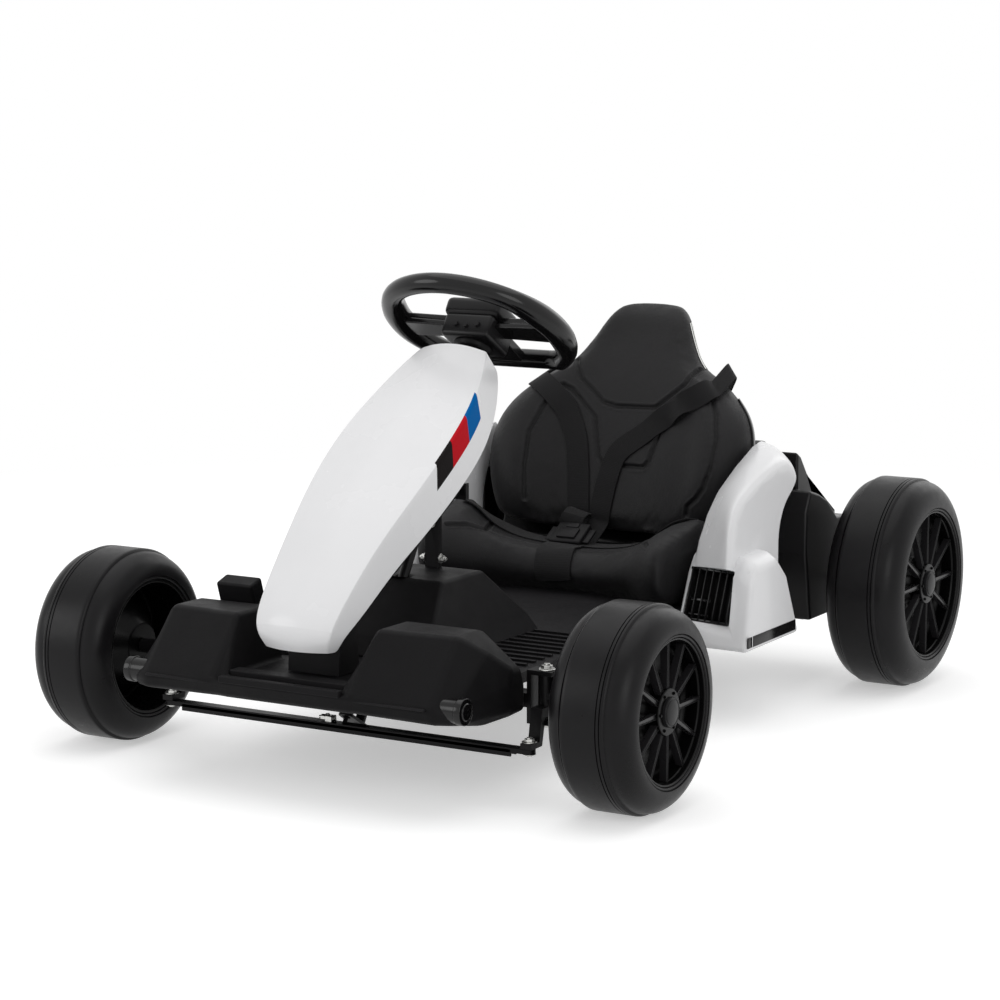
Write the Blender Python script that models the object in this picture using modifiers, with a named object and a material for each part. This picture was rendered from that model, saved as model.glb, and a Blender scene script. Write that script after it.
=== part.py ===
"""Electric drift kart for a child: a low ride-on kart with four moulded wheels.

Metres, +Z up, +X to the driver's left, the nose points to -Y and the origin is on the
floor under the middle of the kart. Lengths along the kart are stations counted
backwards from the front axle, and an empty on that axle carries every piece.
"""

import math

import bmesh
import bpy
from mathutils import Matrix, Vector
from mathutils.bvhtree import BVHTree

# Driving dimensions
WHEELBASE = 0.841
TRACK = 0.781
FRONT_OVERHANG = 0.191
FRONT_RADIUS = 0.130
REAR_RADIUS = 0.153
TYRE_WIDTH = 0.117
FRONT_TYRE_HEIGHT = 0.039
REAR_TYRE_HEIGHT = 0.046
FRONT_RIM_RADIUS = FRONT_RADIUS - FRONT_TYRE_HEIGHT
REAR_RIM_RADIUS = REAR_RADIUS - REAR_TYRE_HEIGHT
GAP = 0.0003

# Stations of the front axle and of the bodywork. The seat, pods and rear body are measured
# from a station that stands AXLE_STATION ahead of the rear axle, and move with it
LENGTH = FRONT_OVERHANG + WHEELBASE + REAR_RADIUS
FRONT_AXLE_Y = FRONT_OVERHANG - LENGTH / 2
AXLE_STATION = 0.841
BODY_Y = WHEELBASE - AXLE_STATION
FLOOR_TOP = 0.150
FLOOR_THICKNESS = 0.014
FLOOR_HALF_WIDTH = 0.222
FLOOR_FRONT = 0.026
DECK_FRONT = 0.700
FLOOR_END = DECK_FRONT + BODY_Y

# Wheel section
SHOULDER_WIDTH = 0.031
BAND_HEIGHT = 0.003
GROOVE_WIDTH = 0.004
RIM_WALL = 0.005
RIM_LIP = 0.003
WEB_INSET = 0.034
WEB_THICKNESS = 0.006
HUB_RADIUS = 0.029
CAP_RADIUS = 0.019
CAP_HEIGHT = 0.006
HUB_INSET = 0.008
HUB_BACK = 0.020
SPOKE_INSET = 0.009
SPOKES = 12
SPOKE_WIDTH = 0.005
SPOKE_DEPTH = 0.010
AXLE_BORE = 0.0065
AXLE_END = 0.001
TURN_STEPS = 24
PIN_STEPS = 12

# Steering linkage
COLUMN_TILT = math.radians(32.0)
WHEEL_CENTRE_Y = 0.2969
WHEEL_CENTRE_Z = 0.553
WHEEL_CENTRE = Vector((0.0, WHEEL_CENTRE_Y, WHEEL_CENTRE_Z))
GRIP_RADIUS = 0.124
GRIP_TUBE = 0.0130
COLUMN_RADIUS = 0.007
COLUMN_CLEARANCE = 0.003
BEARING_CLEARANCE = 0.0006
KINGPIN_INSET = 0.1185
KINGPIN_X = TRACK / 2 - KINGPIN_INSET
KINGPIN_RADIUS = 0.005
NUT_RADIUS = 0.009
NUT_HEIGHT = 0.007
STEER_ARM = 0.044
TIE_ROD_Z = 0.070
TIE_ROD_THICKNESS = 0.006
TIE_ROD_WIDTH = 0.016
PIN_RADIUS = 0.003
PIN_CLEARANCE = 0.0008
PIN_RISE = 0.0135
DROP_ARM_CLEARANCE = 0.0026
DROP_ARM_THICKNESS = 0.004
DROP_ARM_EYE_WALL = 0.005
DROP_ARM_HUB_RADIUS = 0.011
ARM_THICKNESS = 0.007
ARM_GAP = 0.0006

# Underframe and front axle
AXLE_Z = FRONT_RADIUS
RAIL_X = 0.105
RAIL_WIDTH = 0.025
RAIL_HEIGHT = 0.030
RAIL_OVERHANG = 0.019
RAIL_END = WHEELBASE + RAIL_OVERHANG
CROSS_MEMBER_SIZE = 0.024
CROSS_MEMBER_INSET = 0.040
BEAM_Z = 0.125
BEAM_HEIGHT = 0.018
BEAM_DEPTH = 0.025
YOKE_HEIGHT = 0.056
YOKE_PLATE = 0.006
YOKE_REACH = 0.022
YOKE_TIP = 0.013
BARREL_RADIUS = 0.011
BARREL_CLEARANCE = 0.0005
STUB_SHOULDER = 0.010

# Tub, floor and nose
BUMPER_TUBE = (-0.160, 0.142)
BUMPER_TUBE_RADIUS = 0.0125
BUMPER_TUBE_SEAT = 0.222
BUMPER_TUBE_END = 0.250
FLOOR_RIBS = 11
RIB_LENGTH = 0.100
RIB_WIDTH = 0.006
RIB_HEIGHT = 0.003
RIB_MARGIN = 0.014
RIB_START = 0.040
RIB_PITCH = 0.022
TUNNEL_TOP = 0.241
NOSE_WALL = 0.003
POST_Y = 0.176
POST_WIDTH = 0.022
POST_THICKNESS = 0.008
POST_TOP = 0.345
COLLAR_LENGTH = 0.026
COLLAR_RADIUS = 0.016
CROSS_BAR_Y = 0.188
CROSS_BAR_HEIGHT = 0.022
CROSS_BAR_MARGIN = 0.012
STAY_X = 0.034
STAY_RADIUS = 0.004
RIB_THICKNESS = 0.008
BRACKET_HALF_WIDTH = 0.038
PEDAL_TILT = math.radians(18)
PEDAL_SIZE = (0.056, 0.026, 0.092)
PEDAL_PLACE = (-0.168, -0.020)

HUB_WIDTH = 0.080
HUB_LENGTH = 0.070
HUB_DEPTH = 0.030
HUB_RISE = 0.016
HUB_CORNER = 0.010
GRIP_FLAT = 0.092
SPOKE_ROOT = (0.018, -0.022)
SPOKE_TIP = (-0.018, 0.012)
SPOKE_BELOW = 0.008
SPOKE_ABOVE = 0.006
LOWER_SPOKE_ROOT = 0.028
LOWER_SPOKE_TIP = 0.024

# Rear body: the drive housings reach towards the tyres, and the deck fills what is between
CASE_CLEARANCE = 0.036
GEAR_CASE_DEPTH = 0.032
GEAR_CASE_SEAT = 0.020
HOUSING_WIDTH = 0.058
CASE_OUTER = TRACK / 2 - TYRE_WIDTH / 2 - CASE_CLEARANCE
FIN_OUTER = CASE_OUTER - GEAR_CASE_DEPTH
DECK_HALF_WIDTH = FIN_OUTER - HOUSING_WIDTH
BATTERY_SIZE = (0.165, 0.130, 0.048)
BATTERY_Y = 0.600

# Side pod vent
VENT_X = 0.272
VENT_Z = 0.180
VENT_WIDTH = 0.084
VENT_HEIGHT = 0.074
VENT_SLOTS = 6
VENT_FRONT = 0.430
VENT_DEPTH = 0.044
VENT_PLATE = 0.014

PARTS = None
CUTTERS = None
ORIGIN = None


def clear_scene():
    for obj in list(bpy.data.objects):
        bpy.data.objects.remove(obj, do_unlink=True)


def collection(name, hidden=False):
    made = bpy.data.collections.new(name)
    bpy.context.scene.collection.children.link(made)
    made.hide_render = hidden
    return made


def material(name, colour, roughness, metallic=0.0):
    mat = bpy.data.materials.new(name)
    mat.use_nodes = True
    shader = mat.node_tree.nodes["Principled BSDF"]
    shader.inputs["Base Color"].default_value = (*colour, 1.0)
    shader.inputs["Roughness"].default_value = roughness
    shader.inputs["Metallic"].default_value = metallic
    mat.diffuse_color = (*colour, 1.0)
    return mat


def make_materials():
    return {
        "white": material("white gloss plastic", (0.80, 0.81, 0.82), 0.22),
        "black": material("black moulded plastic", (0.018, 0.018, 0.020), 0.48),
        "gloss": material("black gloss plastic", (0.012, 0.012, 0.014), 0.18),
        "vinyl": material("black seat vinyl", (0.022, 0.021, 0.023), 0.52),
        "steel": material("black painted steel", (0.022, 0.022, 0.024), 0.35, 0.4),
        "zinc": material("zinc plated steel", (0.60, 0.61, 0.62), 0.30, 1.0),
        "tyre": material("black tyre plastic", (0.016, 0.016, 0.017), 0.42),
        "web": material("black webbing", (0.015, 0.015, 0.016), 0.85),
        "grey": material("satin grey cap", (0.16, 0.16, 0.17), 0.35, 0.6),
    }


MAT = {}


def link(obj, mat=None, parent=None):
    """Puts a piece in the kart's collection under its parent, or in the cutters'."""
    for home in list(obj.users_collection):
        home.objects.unlink(obj)
    if mat is None:
        CUTTERS.objects.link(obj)
        obj.hide_render = True
        obj.display_type = "WIRE"
    else:
        PARTS.objects.link(obj)
        obj.data.materials.clear()
        obj.data.materials.append(MAT[mat])
    obj.parent = parent or ORIGIN
    return obj


def object_of(name, bm, mat=None, parent=None, smooth=None):
    bmesh.ops.recalc_face_normals(bm, faces=bm.faces)
    mesh = bpy.data.meshes.new(name)
    bm.to_mesh(mesh)
    bm.free()
    if smooth is not None:
        mesh.shade_smooth()
        mesh.set_sharp_from_angle(angle=math.radians(smooth))
    return link(bpy.data.objects.new(name, mesh), mat, parent)


def box(name, size, centre, mat=None, parent=None, turn=None, bevel=0.0):
    """A block of that size about its centre, turned about X by turn."""
    bm = bmesh.new()
    bmesh.ops.create_cube(bm, size=1.0)
    bmesh.ops.scale(bm, vec=size, verts=bm.verts)
    if bevel:
        bmesh.ops.bevel(
            bm, geom=bm.edges[:], offset=bevel, segments=2, profile=0.5, affect="EDGES"
        )
    if turn:
        bmesh.ops.rotate(bm, cent=(0, 0, 0), matrix=Matrix.Rotation(turn, 3, "X"), verts=bm.verts)
    bmesh.ops.translate(bm, vec=centre, verts=bm.verts)
    return object_of(name, bm, mat, parent)


def rod(name, start, end, radius, mat=None, parent=None, sides=16):
    """A round bar between two points."""
    start = Vector(start)
    end = Vector(end)
    bm = bmesh.new()
    bmesh.ops.create_cone(
        bm,
        cap_ends=True,
        segments=sides,
        radius1=radius,
        radius2=radius,
        depth=(end - start).length,
    )
    turn = (end - start).to_track_quat("Z", "Y").to_matrix()
    bmesh.ops.rotate(bm, cent=(0, 0, 0), matrix=turn, verts=bm.verts)
    bmesh.ops.translate(bm, vec=(start + end) / 2, verts=bm.verts)
    return object_of(name, bm, mat, parent, smooth=40)


def lofted(name, rings, mat=None, parent=None, smooth=35):
    """A closed body through rings of equally many points, capped at both ends."""
    bm = bmesh.new()
    rows = [[bm.verts.new(point) for point in ring] for ring in rings]
    count = len(rows[0])
    for low, high in zip(rows, rows[1:]):
        for i in range(count):
            j = (i + 1) % count
            bm.faces.new((low[i], low[j], high[j], high[i]))
    bm.faces.new(rows[0][::-1])
    bm.faces.new(rows[-1])
    return object_of(name, bm, mat, parent, smooth)


def prism(name, outline, low, high, mat=None, parent=None, bevel=0.0, axis="X"):
    """An outline in the plane across an axis, extruded from low to high along it."""
    place = {
        "X": lambda a, b, along: (along, a, b),
        "Y": lambda a, b, along: (a, along, b),
        "Z": lambda a, b, along: (a, b, along),
    }[axis]
    bm = bmesh.new()
    face = bm.faces.new([bm.verts.new(place(a, b, low)) for a, b in outline])
    made = bmesh.ops.extrude_face_region(bm, geom=[face])["geom"]
    step = Vector(place(0.0, 0.0, high - low))
    bmesh.ops.translate(
        bm, vec=step, verts=[v for v in made if isinstance(v, bmesh.types.BMVert)]
    )
    if bevel:
        bmesh.ops.recalc_face_normals(bm, faces=bm.faces)
        bmesh.ops.bevel(
            bm, geom=bm.edges[:], offset=bevel, segments=2, profile=0.5, affect="EDGES"
        )
    return object_of(name, bm, mat, parent)


def turned(name, profile, mat=None, parent=None, steps=TURN_STEPS):
    """A body turned about its own Z from (radius, height) points, down its outer side."""
    bm = bmesh.new()
    verts = [bm.verts.new((r, 0.0, z)) for r, z in profile]
    for a, b in zip(verts, verts[1:]):
        bm.edges.new((a, b))
    if profile[0][0] > 0.0:
        bm.edges.new((verts[-1], verts[0]))
    mesh = bpy.data.meshes.new(name)
    bm.to_mesh(mesh)
    bm.free()
    obj = link(bpy.data.objects.new(name, mesh), mat, parent)
    screw = obj.modifiers.new("turn", "SCREW")
    screw.steps = steps
    screw.render_steps = steps
    screw.use_merge_vertices = True
    screw.merge_threshold = 0.00001
    screw.use_smooth_shade = True
    return obj


def boolean(obj, other, operation):
    made = obj.modifiers.new(operation.lower(), "BOOLEAN")
    made.operation = operation
    made.solver = "EXACT"
    made.object = other


def cut(obj, *cutters):
    for cutter in cutters:
        boolean(obj, cutter, "DIFFERENCE")


def join(obj, *others):
    for other in others:
        boolean(obj, other, "UNION")


def empty(name, location, rotation=(0.0, 0.0, 0.0), parent=None):
    obj = bpy.data.objects.new(name, None)
    PARTS.objects.link(obj)
    obj.parent = parent or ORIGIN
    obj.location = location
    obj.rotation_euler = rotation
    return obj


def arc(centre, radius_a, radius_b, start, end, steps):
    """Points on part of an ellipse; angles in degrees."""
    angles = [math.radians(start + (end - start) * i / steps) for i in range(steps + 1)]
    return [
        (centre[0] + radius_a * math.cos(t), centre[1] + radius_b * math.sin(t)) for t in angles
    ]


def tyre_profile(radius, bore):
    """Half-round shoulders, a raised middle band and the bore, outer side first."""
    half = TYRE_WIDTH / 2
    flat = half - SHOULDER_WIDTH
    base = radius - BAND_HEIGHT
    drop = base - bore - RIM_LIP
    upper = arc((base - drop, flat), drop, SHOULDER_WIDTH, 90, 0, 3)
    upper[-1] = (base, flat)
    band = [
        (base, flat - GROOVE_WIDTH),
        (radius, flat - GROOVE_WIDTH - BAND_HEIGHT),
    ]
    top = [(bore, half)] + upper + band
    return top + [(r, -z) for r, z in reversed(top)]


def rim_profile(bore):
    """Barrel, web and hub in one section; the outer face is at +half."""
    half = TYRE_WIDTH / 2
    outer = bore - GAP
    inner = outer - RIM_WALL
    web = half - WEB_INSET
    back = web - WEB_THICKNESS
    hole = AXLE_BORE + GAP
    return [
        (hole, half - HUB_INSET),
        (HUB_RADIUS, half - HUB_INSET),
        (HUB_RADIUS, web),
        (inner, web),
        (inner, half - RIM_LIP),
        (outer, half - RIM_LIP),
        (outer, -half + RIM_LIP),
        (inner, -half + RIM_LIP),
        (inner, back),
        (HUB_RADIUS, -half + HUB_BACK),
        (hole, -half + HUB_BACK),
    ]


def spoke_bars(bore):
    """One bar for each spoke, from inside the hub's edge to inside the barrel."""
    reach = bore - GAP - RIM_WALL / 2
    root = HUB_RADIUS - 0.004
    bm = bmesh.new()
    for i in range(SPOKES):
        made = bmesh.ops.create_cube(bm, size=1.0)["verts"]
        bmesh.ops.scale(bm, vec=(reach - root, SPOKE_WIDTH, SPOKE_DEPTH), verts=made)
        height = TYRE_WIDTH / 2 - SPOKE_INSET - SPOKE_DEPTH / 2
        bmesh.ops.translate(bm, vec=((reach + root) / 2, 0.0, height), verts=made)
        turn = Matrix.Rotation(2 * math.pi * i / SPOKES, 3, "Z")
        bmesh.ops.rotate(bm, cent=(0, 0, 0), matrix=turn, verts=made)
    return bm


def build_wheel(name, radius, bore, hub):
    """Tyre, spoked rim and cap about the hub empty, whose Z is the axle, outwards."""
    turned(f"tyre_{name}", tyre_profile(radius, bore), "tyre", hub)
    rim = turned(f"rim_{name}", rim_profile(bore), "black", hub)
    join(rim, object_of(f"spokes_{name}", spoke_bars(bore), parent=hub))
    face = TYRE_WIDTH / 2 - HUB_INSET + GAP
    cap = [
        (0.0, face + CAP_HEIGHT),
        (CAP_RADIUS * 0.8, face + CAP_HEIGHT * 0.85),
        (CAP_RADIUS, face + CAP_HEIGHT * 0.4),
        (CAP_RADIUS, face),
        (0.0, face),
    ]
    turned(f"hub_cap_{name}", cap, "grey", hub, steps=24)


def mirrored(points):
    """A half outline from the bottom to the top at X = 0, closed by its mirror image."""
    return points + [(-a, b) for a, b in reversed(points) if abs(a) > GAP]


def sides(build):
    """Runs a builder for the left side (+X) and for the right side (-X)."""
    for name, sign in (("left", 1.0), ("right", -1.0)):
        build(name, sign)


def axle_slot(name, y, sign):
    """Cutters for the rear axle's bore at a station, open upwards (1) or downwards (-1)."""
    half = TRACK / 2
    slot = box(
        f"{name}_slot",
        (2 * half, 2 * AXLE_BORE, REAR_RADIUS),
        (0, y, REAR_RADIUS + sign * REAR_RADIUS / 2),
    )
    bore = rod(f"{name}_bore", (-half, y, REAR_RADIUS), (half, y, REAR_RADIUS), AXLE_BORE)
    return slot, bore


def build_underframe():
    rail_top = FLOOR_TOP - FLOOR_THICKNESS - GAP
    start = BEAM_DEPTH / 2 + GAP
    saddle = axle_slot("rail_saddle", WHEELBASE, 1)

    def rail(name, sign):
        bar = box(
            f"frame_rail_{name}",
            (RAIL_WIDTH, RAIL_END - start, RAIL_HEIGHT),
            (sign * RAIL_X, (RAIL_END + start) / 2, rail_top - RAIL_HEIGHT / 2),
            "steel",
        )
        cut(bar, *saddle)

    sides(rail)
    low = BEAM_Z - BEAM_HEIGHT / 2
    high = BEAM_Z + BEAM_HEIGHT / 2
    bottom = AXLE_Z - YOKE_HEIGHT / 2
    top = AXLE_Z + YOKE_HEIGHT / 2
    web = KINGPIN_X - YOKE_REACH
    tip = KINGPIN_X + YOKE_TIP
    outline = [
        (web, low),
        (web, bottom - YOKE_PLATE),
        (tip, bottom - YOKE_PLATE),
        (tip, bottom),
        (web + YOKE_PLATE, bottom),
        (web + YOKE_PLATE, top),
        (tip, top),
        (tip, top + YOKE_PLATE),
        (web, top + YOKE_PLATE),
        (web, high),
    ]
    beam = prism(
        "front_axle_beam", mirrored(outline), -BEAM_DEPTH / 2, BEAM_DEPTH / 2, "steel", axis="Y"
    )

    def kingpin(name, sign):
        x = sign * KINGPIN_X
        reach = YOKE_HEIGHT / 2 + YOKE_PLATE
        hole = rod(
            f"kingpin_hole_{name}",
            (x, 0, AXLE_Z - reach - 0.01),
            (x, 0, AXLE_Z + reach + 0.01),
            KINGPIN_RADIUS + GAP,
        )
        cut(beam, hole)
        turned(
            f"kingpin_{name}",
            [
                (0.0, reach + NUT_HEIGHT),
                (NUT_RADIUS * 0.8, reach + NUT_HEIGHT),
                (NUT_RADIUS, reach + NUT_HEIGHT * 0.7),
                (NUT_RADIUS, reach + GAP),
                (KINGPIN_RADIUS, reach + GAP),
                (KINGPIN_RADIUS, -reach - GAP),
                (NUT_RADIUS, -reach - GAP),
                (NUT_RADIUS, -reach - 0.004),
                (0.0, -reach - 0.004),
            ],
            "zinc",
            steps=PIN_STEPS,
        ).location = (x, 0, AXLE_Z)

    sides(kingpin)
    box(
        "rear_cross_member",
        (2 * (RAIL_X - RAIL_WIDTH / 2 - GAP), CROSS_MEMBER_SIZE, CROSS_MEMBER_SIZE),
        (0, RAIL_END - CROSS_MEMBER_INSET, rail_top - RAIL_HEIGHT / 2),
        "steel",
    )
    axle_half = TRACK / 2 + TYRE_WIDTH / 2 - HUB_INSET - AXLE_END
    rod(
        "rear_axle",
        (-axle_half, WHEELBASE, REAR_RADIUS),
        (axle_half, WHEELBASE, REAR_RADIUS),
        AXLE_BORE - GAP,
        "zinc",
        sides=24,
    )


# The front tub's section at stations across the kart: X, then (Y, Z) of the lip, front
# bottom, keel, back bottom, back top, rear top edge and front top edge
TUB_SECTIONS = [
    (0.000, (-0.191, 0.147), (-0.180, 0.124), (-0.098, 0.106), (-0.026, 0.112),
     (-0.026, 0.149), (-0.060, 0.150), (-0.172, 0.149)),
    (0.086, (-0.191, 0.147), (-0.180, 0.124), (-0.098, 0.106), (-0.026, 0.112),
     (-0.026, 0.149), (-0.060, 0.150), (-0.172, 0.149)),
    (0.103, (-0.188, 0.146), (-0.178, 0.124), (-0.098, 0.106), (-0.026, 0.112),
     (-0.026, 0.150), (-0.056, 0.219), (-0.128, 0.220)),
    (0.213, (-0.182, 0.140), (-0.176, 0.122), (-0.098, 0.106), (-0.026, 0.112),
     (-0.026, 0.150), (-0.054, 0.218), (-0.116, 0.219)),
    (0.236, (-0.172, 0.136), (-0.166, 0.122), (-0.096, 0.108), (-0.026, 0.113),
     (-0.026, 0.150), (-0.040, 0.190), (-0.088, 0.198)),
    (0.256, (-0.064, 0.150), (-0.062, 0.126), (-0.052, 0.116), (-0.026, 0.116),
     (-0.026, 0.150), (-0.034, 0.170), (-0.056, 0.172)),
]


def build_front_tub():
    rings = []
    for x, *points in TUB_SECTIONS[:0:-1]:
        rings.append([(-x, y, z) for y, z in points])
    for x, *points in TUB_SECTIONS:
        rings.append([(x, y, z) for y, z in points])
    tub = lofted("front_tub", rings, "black", smooth=None)

    def stub(name, sign):
        y, z = BUMPER_TUBE
        inner = sign * BUMPER_TUBE_SEAT
        rod(
            f"bumper_tube_{name}",
            (inner, y, z),
            (sign * BUMPER_TUBE_END, y, z),
            BUMPER_TUBE_RADIUS,
            "gloss",
        )
        hole = rod(
            f"bumper_tube_hole_{name}",
            (inner - sign * 0.001, y, z),
            (sign * 0.3, y, z),
            BUMPER_TUBE_RADIUS + GAP,
        )
        cut(tub, hole)

    sides(stub)


def column_point(z):
    """The point of the steering column's axis at a height."""
    return Vector((0.0, WHEEL_CENTRE.y - (WHEEL_CENTRE.z - z) * math.tan(COLUMN_TILT), z))


def column_cutter(name, radius):
    return rod(name, column_point(0.0), column_point(POST_TOP + COLLAR_LENGTH), radius)


# The tunnel at heights: Z, then half width and Y of its front and of its rear edge
TUNNEL_SECTIONS = [
    (FLOOR_TOP + GAP, 0.100, 0.000, 0.108, 0.275),
    (0.175, 0.090, 0.020, 0.096, 0.262),
    (TUNNEL_TOP, 0.066, 0.090, 0.06848, 0.190),
]


def build_floor():
    floor = box(
        "floor_pan",
        (2 * FLOOR_HALF_WIDTH, FLOOR_END + FLOOR_FRONT - GAP, FLOOR_THICKNESS),
        (0, (FLOOR_END - FLOOR_FRONT + GAP) / 2, FLOOR_TOP - FLOOR_THICKNESS / 2),
        "black",
    )
    cut(floor, column_cutter("column_floor_hole", COLUMN_RADIUS + COLUMN_CLEARANCE))

    def ribs(name, sign):
        bm = bmesh.new()
        for i in range(FLOOR_RIBS):
            made = bmesh.ops.create_cube(bm, size=1.0)["verts"]
            bmesh.ops.scale(bm, vec=(RIB_LENGTH, RIB_WIDTH, 2 * RIB_HEIGHT), verts=made)
            x = sign * (FLOOR_HALF_WIDTH - RIB_MARGIN - RIB_LENGTH / 2)
            y = RIB_START + i * RIB_PITCH
            bmesh.ops.translate(bm, vec=(x, y, FLOOR_TOP), verts=made)
        join(floor, object_of(f"floor_ribs_{name}", bm))

    sides(ribs)
    base = FLOOR_TOP + GAP
    rings = []
    for z, front_half, front_y, rear_half, rear_y in TUNNEL_SECTIONS:
        rings.append(
            [
                (-front_half, front_y, z),
                (front_half, front_y, z),
                (rear_half, rear_y, z),
                (-rear_half, rear_y, z),
            ]
        )
    tunnel = lofted("tunnel", rings, "black", smooth=None)
    cut(tunnel, column_cutter("column_tunnel_hole", COLUMN_RADIUS + COLUMN_CLEARANCE))
    width, depth, height = PEDAL_SIZE
    rise = height / 2 * math.cos(PEDAL_TILT) + depth / 2 * math.sin(PEDAL_TILT)
    x, y = PEDAL_PLACE
    box("accelerator_pedal", PEDAL_SIZE, (x, y, base + rise), "black", turn=PEDAL_TILT)


# The nose shield from its lower tip to its upper edge: half width of the face, then
# (Y, Z) of the fold between face and side wall, and (Y, Z) of the wall's free edge
NOSE_SECTIONS = [
    (0.034, (-0.146, 0.188), (-0.132, 0.188)),
    (0.050, (-0.163, 0.213), (-0.138, 0.205)),
    (0.060, (-0.128, 0.256), (-0.102, 0.228)),
    (0.070, (-0.068, 0.313), (-0.040, 0.276)),
    (0.080, (-0.012, 0.358), (0.016, 0.312)),
    (0.086, (0.045, 0.400), (0.076, 0.352)),
    (0.086, (0.098, 0.436), (0.134, 0.388)),
    (0.078, (0.148, 0.468), (0.184, 0.424)),
    (0.062, (0.196, 0.503), (0.226, 0.466)),
    (0.050, (0.224, 0.523), (0.246, 0.496)),
    (0.047, (0.230, 0.527), (0.248, 0.502)),
]
NOSE_CROWN = 0.012
NOSE_FLARE = 0.005
FOLD_CREASE = 0.75


def build_nose():
    bm = bmesh.new()
    crease = bm.edges.layers.float.new("crease_edge")
    rows = []
    for half, (y, z), (wall_y, wall_z) in NOSE_SECTIONS:
        fold = Vector((half, y, z))
        edge = Vector((half + NOSE_FLARE, wall_y, wall_z))
        out = Vector((0, y - wall_y, z - wall_z)).normalized() * NOSE_CROWN
        rows.append(
            [
                bm.verts.new(Vector((0.0, y, z)) + out),
                bm.verts.new(Vector((half * 0.55, y, z)) + out * 0.75),
                bm.verts.new(fold),
                bm.verts.new(fold.lerp(edge, 0.35)),
                bm.verts.new(edge),
            ]
        )
    for low, high in zip(rows, rows[1:]):
        for i in range(len(low) - 1):
            bm.faces.new((low[i], low[i + 1], high[i + 1], high[i]))
        bm.edges.get((low[2], high[2]))[crease] = FOLD_CREASE
    nose = object_of("nose_shield", bm, "white", smooth=40)
    mirror = nose.modifiers.new("mirror", "MIRROR")
    mirror.merge_threshold = 0.0001
    soft = nose.modifiers.new("soft", "SUBSURF")
    soft.levels = 1
    soft.render_levels = 1
    wall = nose.modifiers.new("wall", "SOLIDIFY")
    wall.thickness = NOSE_WALL
    wall.offset = -1.0


# The bracket's side outline and that of the rib on its top, as (Y, Z), and the stays' foot
BRACKET_OUTLINE = [
    (-0.112, FLOOR_TOP + GAP), (-0.064, FLOOR_TOP + GAP), (-0.072, 0.215), (-0.108, 0.215),
]
RIB_OUTLINE = [(-0.104, 0.205), (-0.1030, 0.2878), (-0.0970, 0.2943), (-0.080, 0.205)]
STAY_FOOT = (-0.090, 0.205)


def build_post():
    """The flat post behind the nose, its column bearing and the bar that holds the nose."""
    low = TUNNEL_TOP + GAP
    post = box(
        "steering_post",
        (POST_WIDTH, POST_THICKNESS, POST_TOP - low),
        (0, POST_Y, (POST_TOP + low) / 2),
        "steel",
    )
    collar = rod(
        "bearing_collar",
        column_point(POST_TOP - COLLAR_LENGTH / 2),
        column_point(POST_TOP + COLLAR_LENGTH / 2),
        COLLAR_RADIUS,
    )
    bar = box(
        "post_cross_bar",
        (2 * (STAY_X + CROSS_BAR_MARGIN), POST_THICKNESS, CROSS_BAR_HEIGHT),
        (0, CROSS_BAR_Y, POST_TOP),
    )
    join(post, collar, bar)
    cut(post, column_cutter("column_bearing_hole", COLUMN_RADIUS + BEARING_CLEARANCE))
    bracket = prism(
        "nose_bracket",
        BRACKET_OUTLINE,
        -BRACKET_HALF_WIDTH,
        BRACKET_HALF_WIDTH,
        "black",
    )
    rib = prism(
        "nose_bracket_rib",
        RIB_OUTLINE,
        -RIB_THICKNESS / 2,
        RIB_THICKNESS / 2,
    )
    join(bracket, rib)

    def stay(name, sign):
        x = sign * STAY_X
        end = (x, CROSS_BAR_Y - POST_THICKNESS / 2 - STAY_RADIUS * 0.6, POST_TOP)
        join(bracket, rod(f"nose_stay_{name}", (x, *STAY_FOOT), end, STAY_RADIUS, sides=12))

    sides(stay)


def build_steering():
    """Column, wheel and drop arm about the empty that lies on the column's axis."""
    pivot = empty("steering_axis", WHEEL_CENTRE, (-COLUMN_TILT, 0.0, 0.0))
    up = Vector((0.0, math.sin(COLUMN_TILT), math.cos(COLUMN_TILT)))
    back = Vector((0.0, math.cos(COLUMN_TILT), -math.sin(COLUMN_TILT)))
    tip = Vector((0.0, -STEER_ARM, TIE_ROD_Z)) + up * PIN_RISE - WHEEL_CENTRE
    drop = tip.dot(up)
    reach = -tip.dot(back)
    shaft = rod(
        "steering_column",
        (0, 0, drop - DROP_ARM_THICKNESS),
        (0, 0, -HUB_DEPTH - GAP),
        COLUMN_RADIUS,
        "steel",
        pivot,
    )
    eye = PIN_RADIUS + DROP_ARM_CLEARANCE
    rim = eye + DROP_ARM_EYE_WALL
    outline = arc((0.0, -reach), rim, rim, 180, 360, 10)
    outline += arc((0.0, 0.0), DROP_ARM_HUB_RADIUS, DROP_ARM_HUB_RADIUS, 0, 180, 8)
    arm = prism(
        "drop_arm_blank",
        outline,
        drop - DROP_ARM_THICKNESS / 2,
        drop + DROP_ARM_THICKNESS / 2,
        parent=pivot,
        axis="Z",
    )
    join(shaft, arm)
    low, high = drop - DROP_ARM_THICKNESS, drop + DROP_ARM_THICKNESS
    cut(shaft, rod("drop_arm_eye", (0, -reach, low), (0, -reach, high), eye, parent=pivot))
    build_steering_wheel(pivot)


def grip_path():
    """The rim's centre line: most of a circle, with a flat across the driver's side."""
    flat = math.degrees(math.asin(GRIP_FLAT / GRIP_RADIUS))
    steps = 24
    angles = [math.radians(flat - (180 + 2 * flat) * i / steps) for i in range(steps + 1)]
    points = [(GRIP_RADIUS * math.cos(t), GRIP_RADIUS * math.sin(t), 0.0) for t in angles]
    return points + [(-GRIP_RADIUS * 0.25, GRIP_FLAT, 0.0), (GRIP_RADIUS * 0.25, GRIP_FLAT, 0.0)]


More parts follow.
